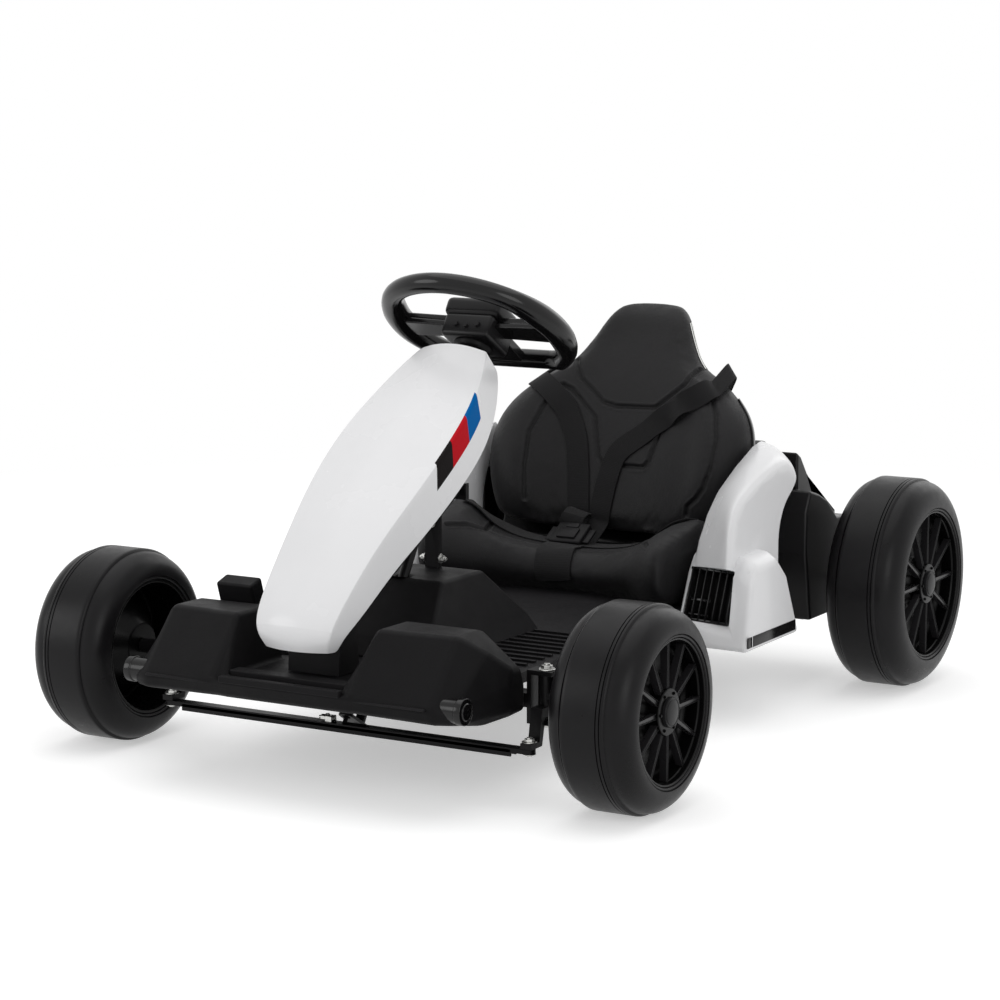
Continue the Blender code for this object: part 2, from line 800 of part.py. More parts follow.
def ring_tube(name, path, radius, sides_count, mat, parent):
    """A closed tube along a path that lies flat in its own XY plane."""
    count = len(path)
    bm = bmesh.new()
    rings = []
    for i, here in enumerate(path):
        here = Vector(here)
        along = (Vector(path[(i + 1) % count]) - Vector(path[i - 1])).normalized()
        side = along.cross(Vector((0, 0, 1)))
        ring = []
        for j in range(sides_count):
            t = 2 * math.pi * j / sides_count
            ring.append(
                bm.verts.new(here + side * radius * math.cos(t) + Vector((0, 0, radius * math.sin(t))))
            )
        rings.append(ring)
    for i in range(count):
        low, high = rings[i], rings[(i + 1) % count]
        for j in range(sides_count):
            k = (j + 1) % sides_count
            bm.faces.new((low[j], low[k], high[k], high[j]))
    return object_of(name, bm, mat, parent, smooth=60)


def build_steering_wheel(pivot):
    grip = ring_tube("steering_wheel_rim", grip_path(), GRIP_TUBE, 10, "gloss", pivot)
    inner = GRIP_RADIUS - GRIP_TUBE * 0.4
    for name, sign in (("left", 1.0), ("right", -1.0)):
        bar = prism(
            f"steering_spoke_{name}",
            [(sign * (HUB_WIDTH / 2 + GAP), y) for y in SPOKE_ROOT]
            + [(sign * inner, y) for y in SPOKE_TIP],
            -SPOKE_BELOW,
            SPOKE_ABOVE,
            parent=pivot,
            axis="Z",
        )
        join(grip, bar)
    lower = prism(
        "steering_spoke_lower",
        [(x, HUB_LENGTH / 2 + GAP) for x in (-LOWER_SPOKE_ROOT, LOWER_SPOKE_ROOT)]
        + [(x, GRIP_FLAT) for x in (LOWER_SPOKE_TIP, -LOWER_SPOKE_TIP)],
        -SPOKE_BELOW,
        SPOKE_ABOVE,
        parent=pivot,
        axis="Z",
    )
    join(grip, lower)
    half, end = HUB_WIDTH / 2, HUB_LENGTH / 2
    corners = [(half, HUB_CORNER - end), (half - HUB_CORNER, -end)]
    corners += [(HUB_CORNER - half, -end), (-half, HUB_CORNER - end)]
    corners += [(-half, end - HUB_CORNER), (HUB_CORNER - half, end)]
    corners += [(half - HUB_CORNER, end), (half, end - HUB_CORNER)]
    prism(
        "steering_hub",
        corners[::-1],
        -HUB_DEPTH,
        HUB_RISE,
        "black",
        pivot,
        bevel=0.003,
        axis="Z",
    )


def build_knuckle(name, sign):
    """Barrel, stub axle and steering arm about the kingpin, with the front wheel."""
    pivot = empty(f"kingpin_axis_{name}", (sign * KINGPIN_X, 0.0, AXLE_Z))
    half = YOKE_HEIGHT / 2 - BARREL_CLEARANCE
    knuckle = rod(f"knuckle_{name}", (0, 0, -half), (0, 0, half), BARREL_RADIUS, "steel", pivot)
    axle_end = TRACK / 2 - KINGPIN_X + TYRE_WIDTH / 2 - HUB_INSET - AXLE_END
    shoulder_end = TRACK / 2 - KINGPIN_X - TYRE_WIDTH / 2 + HUB_BACK - AXLE_END
    stub = rod(
        f"stub_axle_{name}", (0, 0, 0), (sign * axle_end, 0, 0), AXLE_BORE - GAP, parent=pivot
    )
    shoulder = rod(
        f"stub_shoulder_{name}", (0, 0, 0), (sign * shoulder_end, 0, 0), STUB_SHOULDER, parent=pivot
    )
    top = TIE_ROD_Z + TIE_ROD_THICKNESS / 2 + ARM_GAP + ARM_THICKNESS - AXLE_Z
    low = top - ARM_THICKNESS
    arm = prism(
        f"steering_arm_{name}",
        [
            (-0.004, -0.010),
            (-0.026, -0.010),
            (-0.033, top),
            (-STEER_ARM - 0.009, top),
            (-STEER_ARM - 0.009, low),
            (-0.026, low),
            (-0.018, -0.022),
            (-0.004, -0.022),
        ],
        -0.008,
        0.008,
        parent=pivot,
        axis="X",
    )
    join(knuckle, shoulder, stub, arm)
    cut(
        knuckle,
        rod(
            f"knuckle_bore_{name}",
            (0, 0, -0.05),
            (0, 0, 0.05),
            KINGPIN_RADIUS + BARREL_CLEARANCE,
            parent=pivot,
        ),
        rod(
            f"arm_eye_{name}",
            (0, -STEER_ARM, low - 0.01),
            (0, -STEER_ARM, top + 0.01),
            PIN_RADIUS + PIN_CLEARANCE,
            parent=pivot,
        ),
    )
    hub = empty(
        f"front_hub_{name}",
        (sign * (TRACK / 2 - KINGPIN_X), 0.0, 0.0),
        (0.0, sign * math.pi / 2, 0.0),
        pivot,
    )
    build_wheel(f"front_{name}", FRONT_RADIUS, FRONT_RIM_RADIUS, hub)


def build_tie_rod():
    """A flat bar with a bolt at each end and the drop arm's leaning pin at its middle."""
    low = TIE_ROD_Z - TIE_ROD_THICKNESS / 2
    high = TIE_ROD_Z + TIE_ROD_THICKNESS / 2
    half = TIE_ROD_WIDTH / 2
    outline = arc((KINGPIN_X, -STEER_ARM), half, half, -90, 90, 8)
    outline += arc((-KINGPIN_X, -STEER_ARM), half, half, 90, 270, 8)
    bar = prism("tie_rod", outline, low, high, "steel", axis="Z")
    up = Vector((0.0, math.sin(COLUMN_TILT), math.cos(COLUMN_TILT)))
    foot = Vector((0.0, -STEER_ARM, TIE_ROD_Z))
    end = foot + up * (PIN_RISE + DROP_ARM_THICKNESS / 2 + 0.0035)
    join(bar, rod("centre_pin", foot, end, PIN_RADIUS, sides=16))
    join(bar, rod("centre_nut", end - up * 0.002, end + up * 0.005, PIN_RADIUS * 2.6, sides=16))

    def bolt(name, sign):
        x = sign * KINGPIN_X
        top = high + ARM_GAP + ARM_THICKNESS + ARM_GAP
        cut(bar, rod(f"bolt_hole_{name}", (x, -STEER_ARM, low - 0.01), (x, -STEER_ARM, high + 0.01),
                     PIN_RADIUS + GAP))
        turned(
            f"tie_rod_bolt_{name}",
            [
                (0.0, top + 0.005),
                (PIN_RADIUS * 2.2, top + 0.005),
                (PIN_RADIUS * 2.4, top),
                (PIN_RADIUS, top),
                (PIN_RADIUS, low - GAP),
                (PIN_RADIUS * 2.2, low - GAP),
                (PIN_RADIUS * 2.2, low - 0.003),
                (0.0, low - 0.003),
            ],
            "zinc",
            steps=PIN_STEPS,
        ).location = (x, -STEER_ARM, 0.0)

    sides(bolt)


def build_rear_wheel(name, sign):
    hub = empty(
        f"rear_hub_{name}",
        (sign * TRACK / 2, WHEELBASE, REAR_RADIUS),
        (0.0, sign * math.pi / 2, 0.0),
    )
    build_wheel(f"rear_{name}", REAR_RADIUS, REAR_RIM_RADIUS, hub)


# The seat back's section at heights: Z, Y of its front at the middle, half width, how
# far the bolsters stand forward, and the thickness behind the middle
BACK_SECTIONS = [
    (0.212, 0.668, 0.180, 0.030, 0.045),
    (0.250, 0.677, 0.200, 0.045, 0.050),
    (0.300, 0.690, 0.213, 0.055, 0.055),
    (0.350, 0.705, 0.219, 0.052, 0.055),
    (0.394, 0.721, 0.206, 0.038, 0.052),
    (0.424, 0.735, 0.177, 0.024, 0.049),
    (0.444, 0.746, 0.150, 0.014, 0.046),
    (0.461, 0.756, 0.113, 0.007, 0.043),
    (0.478, 0.767, 0.101, 0.004, 0.040),
]
HEADREST_SECTIONS = [
    (0.4783, 0.7672, 0.0985, 0.004, 0.040),
    (0.502, 0.783, 0.085, 0.006, 0.040),
    (0.526, 0.797, 0.0715, 0.006, 0.036),
    (0.543, 0.809, 0.055, 0.003, 0.026),
    (0.551, 0.819, 0.035, 0.000, 0.014),
]


def pad_rings(sections):
    rings = []
    for z, y, half, bolster, thick in sections:
        front = [
            (0.0, y),
            (half * 0.42, y - bolster * 0.12),
            (half * 0.66, y - bolster * 0.85),
            (half * 0.84, y - bolster),
            (half * 0.98, y - bolster * 0.4),
            (half, y + thick * 0.35),
            (half * 0.92, y + thick * 0.9),
            (half * 0.5, y + thick),
        ]
        ring = front + [(0.0, y + thick)] + [(-x, a) for x, a in reversed(front[1:])]
        rings.append([(x, a, z) for x, a in ring])
    return rings


# The cushion's section at distances from the middle: X, then (Y, Z) of the front foot, the
# nose of the front roll, its top, the seat, the rear top and the rear foot
CUSHION_SECTIONS = [
    (0.000, (0.522, 0.150), (0.513, 0.180), (0.530, 0.203), (0.580, 0.196), (0.632, 0.204),
     (0.632, 0.150)),
    (0.100, (0.508, 0.150), (0.498, 0.188), (0.516, 0.214), (0.575, 0.205), (0.628, 0.212),
     (0.628, 0.150)),
    (0.155, (0.478, 0.150), (0.464, 0.202), (0.482, 0.238), (0.555, 0.240), (0.616, 0.238),
     (0.616, 0.150)),
    (0.190, (0.452, 0.150), (0.436, 0.212), (0.455, 0.254), (0.535, 0.270), (0.604, 0.258),
     (0.606, 0.150)),
    (0.211, (0.462, 0.155), (0.450, 0.208), (0.466, 0.238), (0.530, 0.252), (0.594, 0.240),
     (0.596, 0.155)),
]


def build_seat():
    rings = [[(-x, y, z) for y, z in points] for x, *points in CUSHION_SECTIONS[:0:-1]]
    rings += [[(x, y, z) for y, z in points] for x, *points in CUSHION_SECTIONS]
    lift = Vector((0.0, 0.0, GAP))
    rings = [[Vector(point) + lift for point in ring] for ring in rings]
    cushion = lofted("seat_cushion", rings, "vinyl", smooth=50)
    back = lofted("seat_back", pad_rings(BACK_SECTIONS), "vinyl", smooth=50)
    headrest = lofted("headrest", pad_rings(HEADREST_SECTIONS), "vinyl", smooth=50)
    build_harness([cushion, back, headrest])


# The harness over the seat: each strap's width, the pitch of its rows and its lift off the
# pads, then the points that it passes, X, Y and Z
STRAPS = {
    "shoulder_strap_left": (
        0.036, 0.020, 0.003, (0.166, 0.768, 0.468), (0.153, 0.722, 0.436),
        (0.100, 0.700, 0.404), (0.050, 0.700, 0.368), (0.004, 0.695, 0.335),
        (-0.004, 0.690, 0.290),
    ),
    "shoulder_strap_right": (
        0.036, 0.020, 0.003, (-0.166, 0.768, 0.468), (-0.151, 0.722, 0.436),
        (-0.088, 0.710, 0.391), (-0.064, 0.700, 0.345), (-0.052, 0.690, 0.290),
    ),
    "lap_strap_right": (
        0.036, 0.020, 0.003, (-0.184, 0.575, 0.268), (-0.150, 0.572, 0.242),
        (-0.105, 0.580, 0.210), (-0.056, 0.592, 0.204),
    ),
    "lap_strap_left": (
        0.036, 0.020, 0.003, (0.188, 0.575, 0.270), (0.150, 0.572, 0.242),
        (0.105, 0.580, 0.210), (0.008, 0.596, 0.204),
    ),
    "crotch_strap": (
        0.060, 0.011, 0.0065, (-0.020, 0.570, 0.205), (-0.016, 0.545, 0.205),
        (-0.010, 0.520, 0.215), (-0.008, 0.500, 0.185), (-0.006, 0.505, 0.158),
    ),
}
STRAP_THICKNESS = 0.0025
END_LIFT = 0.0004
BUCKLE_SIZE = (0.052, 0.044, 0.014)
BUCKLE_PLACE = (-0.024, 0.600, 0.2183)
BUCKLE_TILT = math.radians(30)


def along(points, pitch):
    """Points at an even pitch along a broken line."""
    found = [Vector(points[0])]
    for start, end in zip(points, points[1:]):
        start, end = Vector(start), Vector(end)
        count = max(1, round((end - start).length / pitch))
        found += [start.lerp(end, (i + 1) / count) for i in range(count)]
    return found


def build_harness(pads):
    """Flat straps laid on the pads, and the buckle where they meet."""
    skin = bmesh.new()
    for pad in pads:
        skin.from_mesh(pad.data)
    surface = BVHTree.FromBMesh(skin)
    skin.free()
    for name, (width, pitch, lift, *points) in STRAPS.items():
        hung = name.startswith("shoulder")
        laid = along(points[1:] if hung else points, pitch)
        centre = [surface.find_nearest(point)[:2] for point in laid]
        rings = []
        for i, (here, normal) in enumerate(centre):
            ahead = centre[min(i + 1, len(centre) - 1)][0] - centre[max(i - 1, 0)][0]
            across = ahead.cross(normal).normalized() * width / 2
            feet = []
            off = END_LIFT if i == len(centre) - 1 else lift
            for corner in (here - across, here + across):
                place, facing = surface.find_nearest(corner)[:2]
                feet.append(place + facing * off)
            rise = normal * STRAP_THICKNESS
            rings.append([feet[0], feet[1], feet[1] + rise, feet[0] + rise])
        if hung:
            step = Vector(points[0]) - centre[0][0]
            rings.insert(0, [corner + step for corner in rings[0]])
        lofted(name, rings, "web", smooth=None)
    box("harness_buckle", BUCKLE_SIZE, BUCKLE_PLACE, "black", turn=BUCKLE_TILT, bevel=0.003)


# The fin's outline (Y, Z) at distances from the kart's middle: up the front edge, then
# down the hollow rear edge
FIN_SECTIONS = [
    (0.2225, (0.468, 0.142), (0.502, 0.212), (0.523, 0.246), (0.547, 0.278), (0.579, 0.307),
     (0.644, 0.337), (0.700, 0.362), (0.732, 0.370), (0.752, 0.350), (0.722, 0.322),
     (0.694, 0.290), (0.682, 0.226), (0.690, 0.142)),
    (0.256, (0.466, 0.142), (0.480, 0.216), (0.491, 0.252), (0.508, 0.288), (0.538, 0.316),
     (0.602, 0.341), (0.660, 0.362), (0.706, 0.364), (0.736, 0.342), (0.714, 0.318),
     (0.680, 0.288), (0.660, 0.226), (0.672, 0.142)),
    (0.293, (0.462, 0.142), (0.458, 0.222), (0.459, 0.255), (0.464, 0.290), (0.490, 0.315),
     (0.560, 0.340), (0.620, 0.352), (0.664, 0.352), (0.694, 0.322), (0.676, 0.304),
     (0.636, 0.284), (0.622, 0.226), (0.640, 0.142)),
    (0.300, (0.474, 0.142), (0.470, 0.222), (0.471, 0.253), (0.476, 0.284), (0.500, 0.306),
     (0.564, 0.330), (0.622, 0.341), (0.660, 0.341), (0.684, 0.320), (0.668, 0.305),
     (0.628, 0.282), (0.614, 0.226), (0.630, 0.142)),
]
# The lower box's outline (Y, Z), the same at each distance but for its rear edge
SILL_SECTIONS = [
    (0.2225, (0.452, 0.108), (0.452, 0.220), (0.466, 0.236), (0.600, 0.236), (0.652, 0.200),
     (0.668, 0.108)),
    (0.324, (0.446, 0.108), (0.448, 0.220), (0.462, 0.236), (0.548, 0.236), (0.588, 0.200),
     (0.632, 0.108)),
    (0.335, (0.440, 0.108), (0.452, 0.212), (0.466, 0.226), (0.542, 0.226), (0.578, 0.196),
     (0.622, 0.108)),
]


def build_pod(name, sign):
    def across(sections):
        return [[(sign * x, y, z) for y, z in points] for x, *points in sections]

    pod = lofted(f"side_pod_{name}", across(FIN_SECTIONS), "white", smooth=40)
    join(pod, lofted(f"side_box_{name}", across(SILL_SECTIONS), smooth=40))
    window = box(
        f"vent_recess_{name}",
        (VENT_WIDTH, 2 * VENT_DEPTH, VENT_HEIGHT),
        (sign * VENT_X, VENT_FRONT, VENT_Z),
    )
    cut(pod, window)
    plate = VENT_FRONT + VENT_DEPTH - GAP - VENT_PLATE / 2
    grille = box(
        f"vent_grille_{name}",
        (VENT_WIDTH - 2 * GAP, VENT_PLATE, VENT_HEIGHT - 2 * GAP),
        (sign * VENT_X, plate, VENT_Z),
        "black",
    )
    slots = bmesh.new()
    pitch = (VENT_WIDTH - 0.008) / VENT_SLOTS
    for i in range(VENT_SLOTS):
        made = bmesh.ops.create_cube(slots, size=1.0)["verts"]
        bmesh.ops.scale(slots, vec=(pitch - 0.003, 0.008, VENT_HEIGHT - 0.012), verts=made)
        x = sign * VENT_X + (i - (VENT_SLOTS - 1) / 2) * pitch
        bmesh.ops.translate(slots, vec=(x, plate - VENT_PLATE / 2, VENT_Z), verts=made)
    cut(grille, object_of(f"vent_slots_{name}", slots))


# The deck's outline behind the seat back, the drive housing's and the gear case's, as
# (Y, Z) points
DECK_REAR = [(0.782, 0.356), (0.850, 0.303), (0.900, 0.262), (0.930, 0.215)]
HOUSING_OUTLINE = [
    (0.766, 0.130), (0.764, 0.300), (0.764, 0.344), (0.778, 0.336), (0.800, 0.310),
    (0.829, 0.284), (0.878, 0.250), (0.928, 0.222), (0.928, 0.110), (0.890, 0.088),
    (0.800, 0.088),
]
GEAR_CASE_OUTLINE = [
    (0.745, 0.100), (0.727, 0.200), (0.727, 0.262), (0.742, 0.292), (0.772, 0.284),
    (0.803, 0.271), (0.841, 0.241), (0.900, 0.236), (0.910, 0.130), (0.833, 0.100),
]


def build_rear():
    rail_top = FLOOR_TOP - FLOOR_THICKNESS
    front = [(y + thick + GAP, z) for z, y, _, _, thick in BACK_SECTIONS[:4]]
    foot = [(DECK_FRONT + GAP, rail_top), (DECK_FRONT + GAP, front[0][1] - 0.012)]
    outline = foot + front + DECK_REAR + [(DECK_REAR[-1][0], rail_top)]
    deck = prism("rear_deck", outline, -DECK_HALF_WIDTH, DECK_HALF_WIDTH, "black")
    cut(deck, *axle_slot("deck", AXLE_STATION, -1))
    top = rail_top - GAP
    box(
        "battery_box",
        BATTERY_SIZE,
        (0, BATTERY_Y, top - BATTERY_SIZE[2] / 2),
        "black",
        bevel=0.003,
    )
    hole = rod(
        "housing_bore",
        (-TRACK / 2, AXLE_STATION, REAR_RADIUS),
        (TRACK / 2, AXLE_STATION, REAR_RADIUS),
        AXLE_BORE,
    )

    def motor(name, sign):
        inner = sign * (DECK_HALF_WIDTH + GAP)
        case = prism(
            f"motor_cover_{name}", HOUSING_OUTLINE, inner, sign * FIN_OUTER, "black"
        )
        outer = prism(
            f"gear_case_{name}",
            GEAR_CASE_OUTLINE,
            sign * (FIN_OUTER - GEAR_CASE_SEAT),
            sign * CASE_OUTER,
        )
        join(case, outer)
        cut(case, hole)

    sides(motor)


def build_all():
    """The frame and front from the front axle's station, then the body from its own."""
    global ORIGIN
    build_underframe()
    build_front_tub()
    build_floor()
    build_nose()
    build_post()
    build_steering()
    sides(build_knuckle)
    build_tie_rod()
    sides(build_rear_wheel)
    ORIGIN = empty("body_station", (0.0, BODY_Y, 0.0))
    build_seat()
    sides(build_pod)
    build_rear()


def main():
    global PARTS, CUTTERS, ORIGIN
    clear_scene()
    PARTS = collection("electric drift kart")
    CUTTERS = collection("cutters", hidden=True)
    MAT.update(make_materials())
    ORIGIN = bpy.data.objects.new("front_axle_station", None)
    PARTS.objects.link(ORIGIN)
    ORIGIN.location = (0.0, FRONT_AXLE_Y, 0.0)
    build_all()
    bpy.context.view_layer.update()


main()
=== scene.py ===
"""Dresses the electric drift kart: detailed pieces, finishes, camera, floor and light.

Metres, +Z up, +X to the driver's left, the nose points to -Y. Lengths along the kart are
stations counted backwards from the front axle, as in the part's source.
"""

import math

import bmesh
import bpy
from mathutils import Matrix, Vector
from mathutils.bvhtree import BVHTree
from mathutils.kdtree import KDTree


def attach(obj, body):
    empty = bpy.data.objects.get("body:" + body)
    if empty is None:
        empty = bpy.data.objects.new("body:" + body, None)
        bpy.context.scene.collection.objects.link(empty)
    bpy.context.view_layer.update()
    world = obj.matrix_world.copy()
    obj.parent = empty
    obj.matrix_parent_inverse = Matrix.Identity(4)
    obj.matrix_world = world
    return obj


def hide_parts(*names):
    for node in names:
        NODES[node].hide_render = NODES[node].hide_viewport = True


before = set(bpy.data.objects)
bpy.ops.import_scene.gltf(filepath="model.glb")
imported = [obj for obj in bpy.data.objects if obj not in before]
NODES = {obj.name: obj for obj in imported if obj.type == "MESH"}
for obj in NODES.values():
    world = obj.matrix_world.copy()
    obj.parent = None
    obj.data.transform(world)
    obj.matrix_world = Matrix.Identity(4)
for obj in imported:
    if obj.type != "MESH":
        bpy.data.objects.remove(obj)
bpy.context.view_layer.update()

bl_info = {
    "name": "Electric drift kart dressing",
    "version": (1, 0, 0),
    "blender": (4, 5, 0),
    "location": "3D View > Sidebar > Kart",
    "description": "Detailed pieces, finishes, camera and floor for a child's electric drift kart",
    "category": "Object",
}

AXLE = -0.4015
SIDES = (("left", 1.0), ("right", -1.0))
FINISHES = {}


# Sizes and colours


def colour(name, description, value):
    return bpy.props.FloatVectorProperty(
        name=name, description=description, subtype="COLOR", size=3, default=value
    )


def number(name, description, value, unit="NONE"):
    return bpy.props.FloatProperty(
        name=name, description=description, default=value, unit=unit, precision=4
    )


class KartColours(bpy.types.PropertyGroup):
    """Base colours of the finishes, as linear values"""

    white: colour("White", "Nose shield and side pods", (0.80, 0.80, 0.81))
    black: colour("Black", "Tub, floor, deck and grilles", (0.0068, 0.0065, 0.0070))
    vinyl: colour("Vinyl", "Seat cover", (0.0070, 0.0066, 0.0073))
    tyre: colour("Tyre", "Moulded tyres", (0.0048, 0.0045, 0.0050))
    zinc: colour("Zinc", "Plated bolts and axles", (0.62, 0.62, 0.60))
    cap: colour("Cap", "Hub caps", (0.0115, 0.0115, 0.0122))
    stripe_blue: colour("Blue stripe", "Upper field of the nose's band", (0.0005, 0.114, 0.365))
    stripe_red: colour("Red stripe", "Middle field of the nose's band", (0.500, 0.010, 0.018))
    stripe_black: colour("Black stripe", "Lower field of the nose's band", (0.014, 0.012, 0.012))


class KartWheels(bpy.types.PropertyGroup):
    """Sizes of the wheels' detail"""

    steps: bpy.props.IntProperty(
        name="Steps", description="Steps round each turned piece", default=96, min=24
    )
    spokes: bpy.props.IntProperty(
        name="Spokes", description="Spokes in each rim", default=12, min=3
    )
    spoke_root: number("Spoke at hub", "Width of a spoke at the hub", 0.0066, "LENGTH")
    spoke_tip: number("Spoke at rim", "Width of a spoke at the rim", 0.0046, "LENGTH")
    groove: number("Groove", "Depth of the tread's fine grooves", 0.0017, "LENGTH")


class KartSeat(bpy.types.PropertyGroup):
    """How the seat is padded and sewn"""

    voxel: number("Mesh size", "Size of the cloth's mesh", 0.005, "LENGTH")
    swell: number("Swell", "How far the stuffing may move the cover", 0.006, "LENGTH")
    seam_depth: number("Seam depth", "Depth of a sewn channel", 0.0036, "LENGTH")
    seam_width: number("Seam width", "Half width of a sewn channel", 0.0046, "LENGTH")


class KartStage(bpy.types.PropertyGroup):
    """Camera, lamps and floor"""

    azimuth: number(
        "Azimuth", "Direction that the camera looks from", math.radians(30.13), "ROTATION"
    )
    elevation: number(
        "Elevation", "Camera's angle above the horizon", math.radians(8.78), "ROTATION"
    )
    distance: number("Distance", "From the camera to its aim point", 3.418, "LENGTH")
    lens: number("Lens", "Focal length on a 36 mm sensor, in millimetres", 100.9)
    aim: bpy.props.FloatVectorProperty(
        name="Aim", description="Point that the camera looks at", subtype="TRANSLATION",
        size=3, default=(0.228, -0.4415, 0.378), unit="LENGTH",
    )
    fill: number("Fill light", "Strength of the light from all round", 0.60)
    power: number("Lamps", "Share of each lamp's full power", 0.74)


# Finishes


def add(tree, kind, inputs=(), **settings):
    """A shader node with its settings, and its inputs set or joined."""
    node = tree.nodes.new("ShaderNode" + kind)
    for key, value in settings.items():
        setattr(node, key, value)
    for key, value in inputs:
        if isinstance(value, bpy.types.NodeSocket):
            tree.links.new(value, node.inputs[key])
        else:
            node.inputs[key].default_value = value
    return node


def calc(tree, operation, first, second):
    """A Math node's result."""
    return add(tree, "Math", [(0, first), (1, second)], operation=operation).outputs[0]


def blend(tree, factor, dark, light):
    """A colour between two; the RGBA sockets follow the float and vector ones."""
    inputs = [("Factor", factor), (6, dark), (7, light)]
    return add(tree, "Mix", inputs, data_type="RGBA").outputs[2]


def base_finish(name, colour, roughness, metallic=0.0, coat=0.0, specular=0.5):
    """A material with its shader's plain values set, its tree and object coordinates."""
    mat = bpy.data.materials.new(name)
    mat.use_nodes = True
    tree = mat.node_tree
    shader = tree.nodes["Principled BSDF"]
    for socket, value in (
        ("Base Color", (*colour, 1.0)), ("Roughness", roughness), ("Metallic", metallic),
        ("Coat Weight", coat), ("Coat Roughness", 0.06), ("Specular IOR Level", specular),
    ):
        shader.inputs[socket].default_value = value
    mat.diffuse_color = (*colour, 1.0)
    FINISHES[name] = mat
    return tree, shader, add(tree, "TexCoord").outputs["Object"]


def noise(tree, place, scale, detail=3.0, roughness=0.55, stretch=None):
    if stretch:
        place = add(tree, "Mapping", [("Vector", place), ("Scale", stretch)]).outputs[0]
    inputs = [("Vector", place), ("Scale", scale), ("Detail", detail), ("Roughness", roughness)]
    return add(tree, "TexNoise", inputs).outputs["Fac"]


def spread(tree, value, low, high, start=0.3, end=0.7):
    """A value from a noise, spread between two limits."""
    inputs = [("Value", value), ("From Min", start), ("From Max", end),
              ("To Min", low), ("To Max", high)]
    return add(tree, "MapRange", inputs).outputs[0]


def tint(tree, shader, colour, factor, low, high):
    """The base colour, from darker to lighter by a factor."""
    dark, light = ((*(c * level for c in colour), 1.0) for level in (low, high))
    mixed = blend(tree, factor, dark, light)
    tree.links.new(mixed, shader.inputs["Base Color"])
    return mixed


def rough_and_bump(tree, shader, rough, height, strength, distance, grain=None):
    """Roughness and relief; a finer relief may lie under the first."""
    tree.links.new(rough, shader.inputs["Roughness"])
    inputs = [("Height", height), ("Strength", strength), ("Distance", distance)]
    if grain:
        inputs.append(("Normal", add(tree, "Bump", grain).outputs[0]))
    tree.links.new(add(tree, "Bump", inputs).outputs[0], shader.inputs["Normal"])


def between(tree, value, low, high):
    """1 where the value lies between two limits."""
    above = calc(tree, "GREATER_THAN", value, low)
    return calc(tree, "MULTIPLY", above, calc(tree, "LESS_THAN", value, high))


def gloss_white(colours):
    """White gloss plastic with a faint flow pattern; the nose carries a band of three fields."""
    for name in ("white_gloss", "white_banded"):
        tree, shader, place = base_finish(name, colours.white, 0.24, coat=0.08, specular=0.30)
        flow = noise(tree, place, 9.0, 4.0)
        mixed = tint(tree, shader, colours.white, spread(tree, flow, 0.0, 1.0), 0.975, 1.01)
        peel = noise(tree, place, 420.0, 2.0)
        rough_and_bump(tree, shader, spread(tree, flow, 0.20, 0.30), peel, 0.04, 0.0004)
        if name == "white_banded":
            banded(tree, shader, mixed, colours)


def banded(tree, shader, colour, colours):
    """Three slanting fields across the nose's fold and down its side wall."""
    wall = add(tree, "Attribute", attribute_name="wall").outputs["Fac"]
    along = add(tree, "Attribute", attribute_name="station").outputs["Fac"]
    slant = add(
        tree, "Math", [(0, wall), (1, 0.034), (2, along)], operation="MULTIPLY_ADD"
    ).outputs[0]
    across = between(tree, wall, -0.05, 0.47)
    band = 0.0
    for start, end, field in (
        (0.047, 0.083, colours.stripe_black),
        (0.083, 0.125, colours.stripe_red),
        (0.125, 0.163, colours.stripe_blue),
    ):
        mask = calc(tree, "MULTIPLY", between(tree, slant, start, end), across)
        band = calc(tree, "MAXIMUM", band, mask)
        colour = blend(tree, mask, colour, (*field, 1.0))
    tree.links.new(colour, shader.inputs["Base Color"])
    # Printed film reflects less than the plastic
    for socket, bare, printed in (("Specular IOR Level", 0.30, 0.015), ("Coat Weight", 0.08, 0.0)):
        tree.links.new(spread(tree, band, bare, printed, 0.0, 1.0), shader.inputs[socket])


# The plastics and painted finishes: source colour and its level, roughness from and to,
# grains per metre and their height, how far random blotches lighten the colour, and specular level
PLAIN = (
    ("moulded_black", "black", 0.80, 0.34, 0.48, 1500.0, 0.00022, 0.30, 0.10),
    ("grained_black", "black", 0.95, 0.44, 0.58, 900.0, 0.00045, 0.30, 0.07),
    ("satin_black", "black", 0.85, 0.28, 0.33, 900.0, 0.00010, 0.12, 0.20),
    ("gloss_black", "black", 0.50, 0.12, 0.20, 300.0, 0.00003, 0.12, 0.30),
    ("rim_black", "black", 0.25, 0.24, 0.34, 700.0, 0.00008, 0.50, 0.12),
    # Painted highlight: the spokes get a much lighter copy of the rim's black, with stronger
    # lighter blotches
    ("spoke_satin", "black", 1.30, 0.24, 0.34, 700.0, 0.00008, 0.80, 0.24),
    ("painted_steel", "black", 0.70, 0.30, 0.42, 600.0, 0.00012, 0.40, 0.13),
    ("satin_cap", "cap", 0.7, 0.26, 0.36, 900.0, 0.00006, 0.40, 0.12),
)


def plain_finishes(colours):
    for name, source, level, low, high, grain, height, blotch_and_sheen, specular in PLAIN:
        colour = tuple(c * level for c in getattr(colours, source))
        tree, shader, place = base_finish(name, colour, (low + high) / 2, specular=specular)
        blotch = spread(tree, noise(tree, place, 16.0, 4.0), 0.0, blotch_and_sheen)
        # Painted highlight: convex edges are painted lighter, standing in for gloss catching the
        # light
        edge = spread(tree, add(tree, "NewGeometry").outputs["Pointiness"], 0.0, 1.0, 0.505, 0.58)
        tint(tree, shader, colour, calc(tree, "MAXIMUM", blotch, edge), 0.85, 1.9)
        rough = spread(tree, noise(tree, place, 30.0, 5.0), low, high)
        rough_and_bump(tree, shader, rough, noise(tree, place, grain, 2.0), 0.55, height)


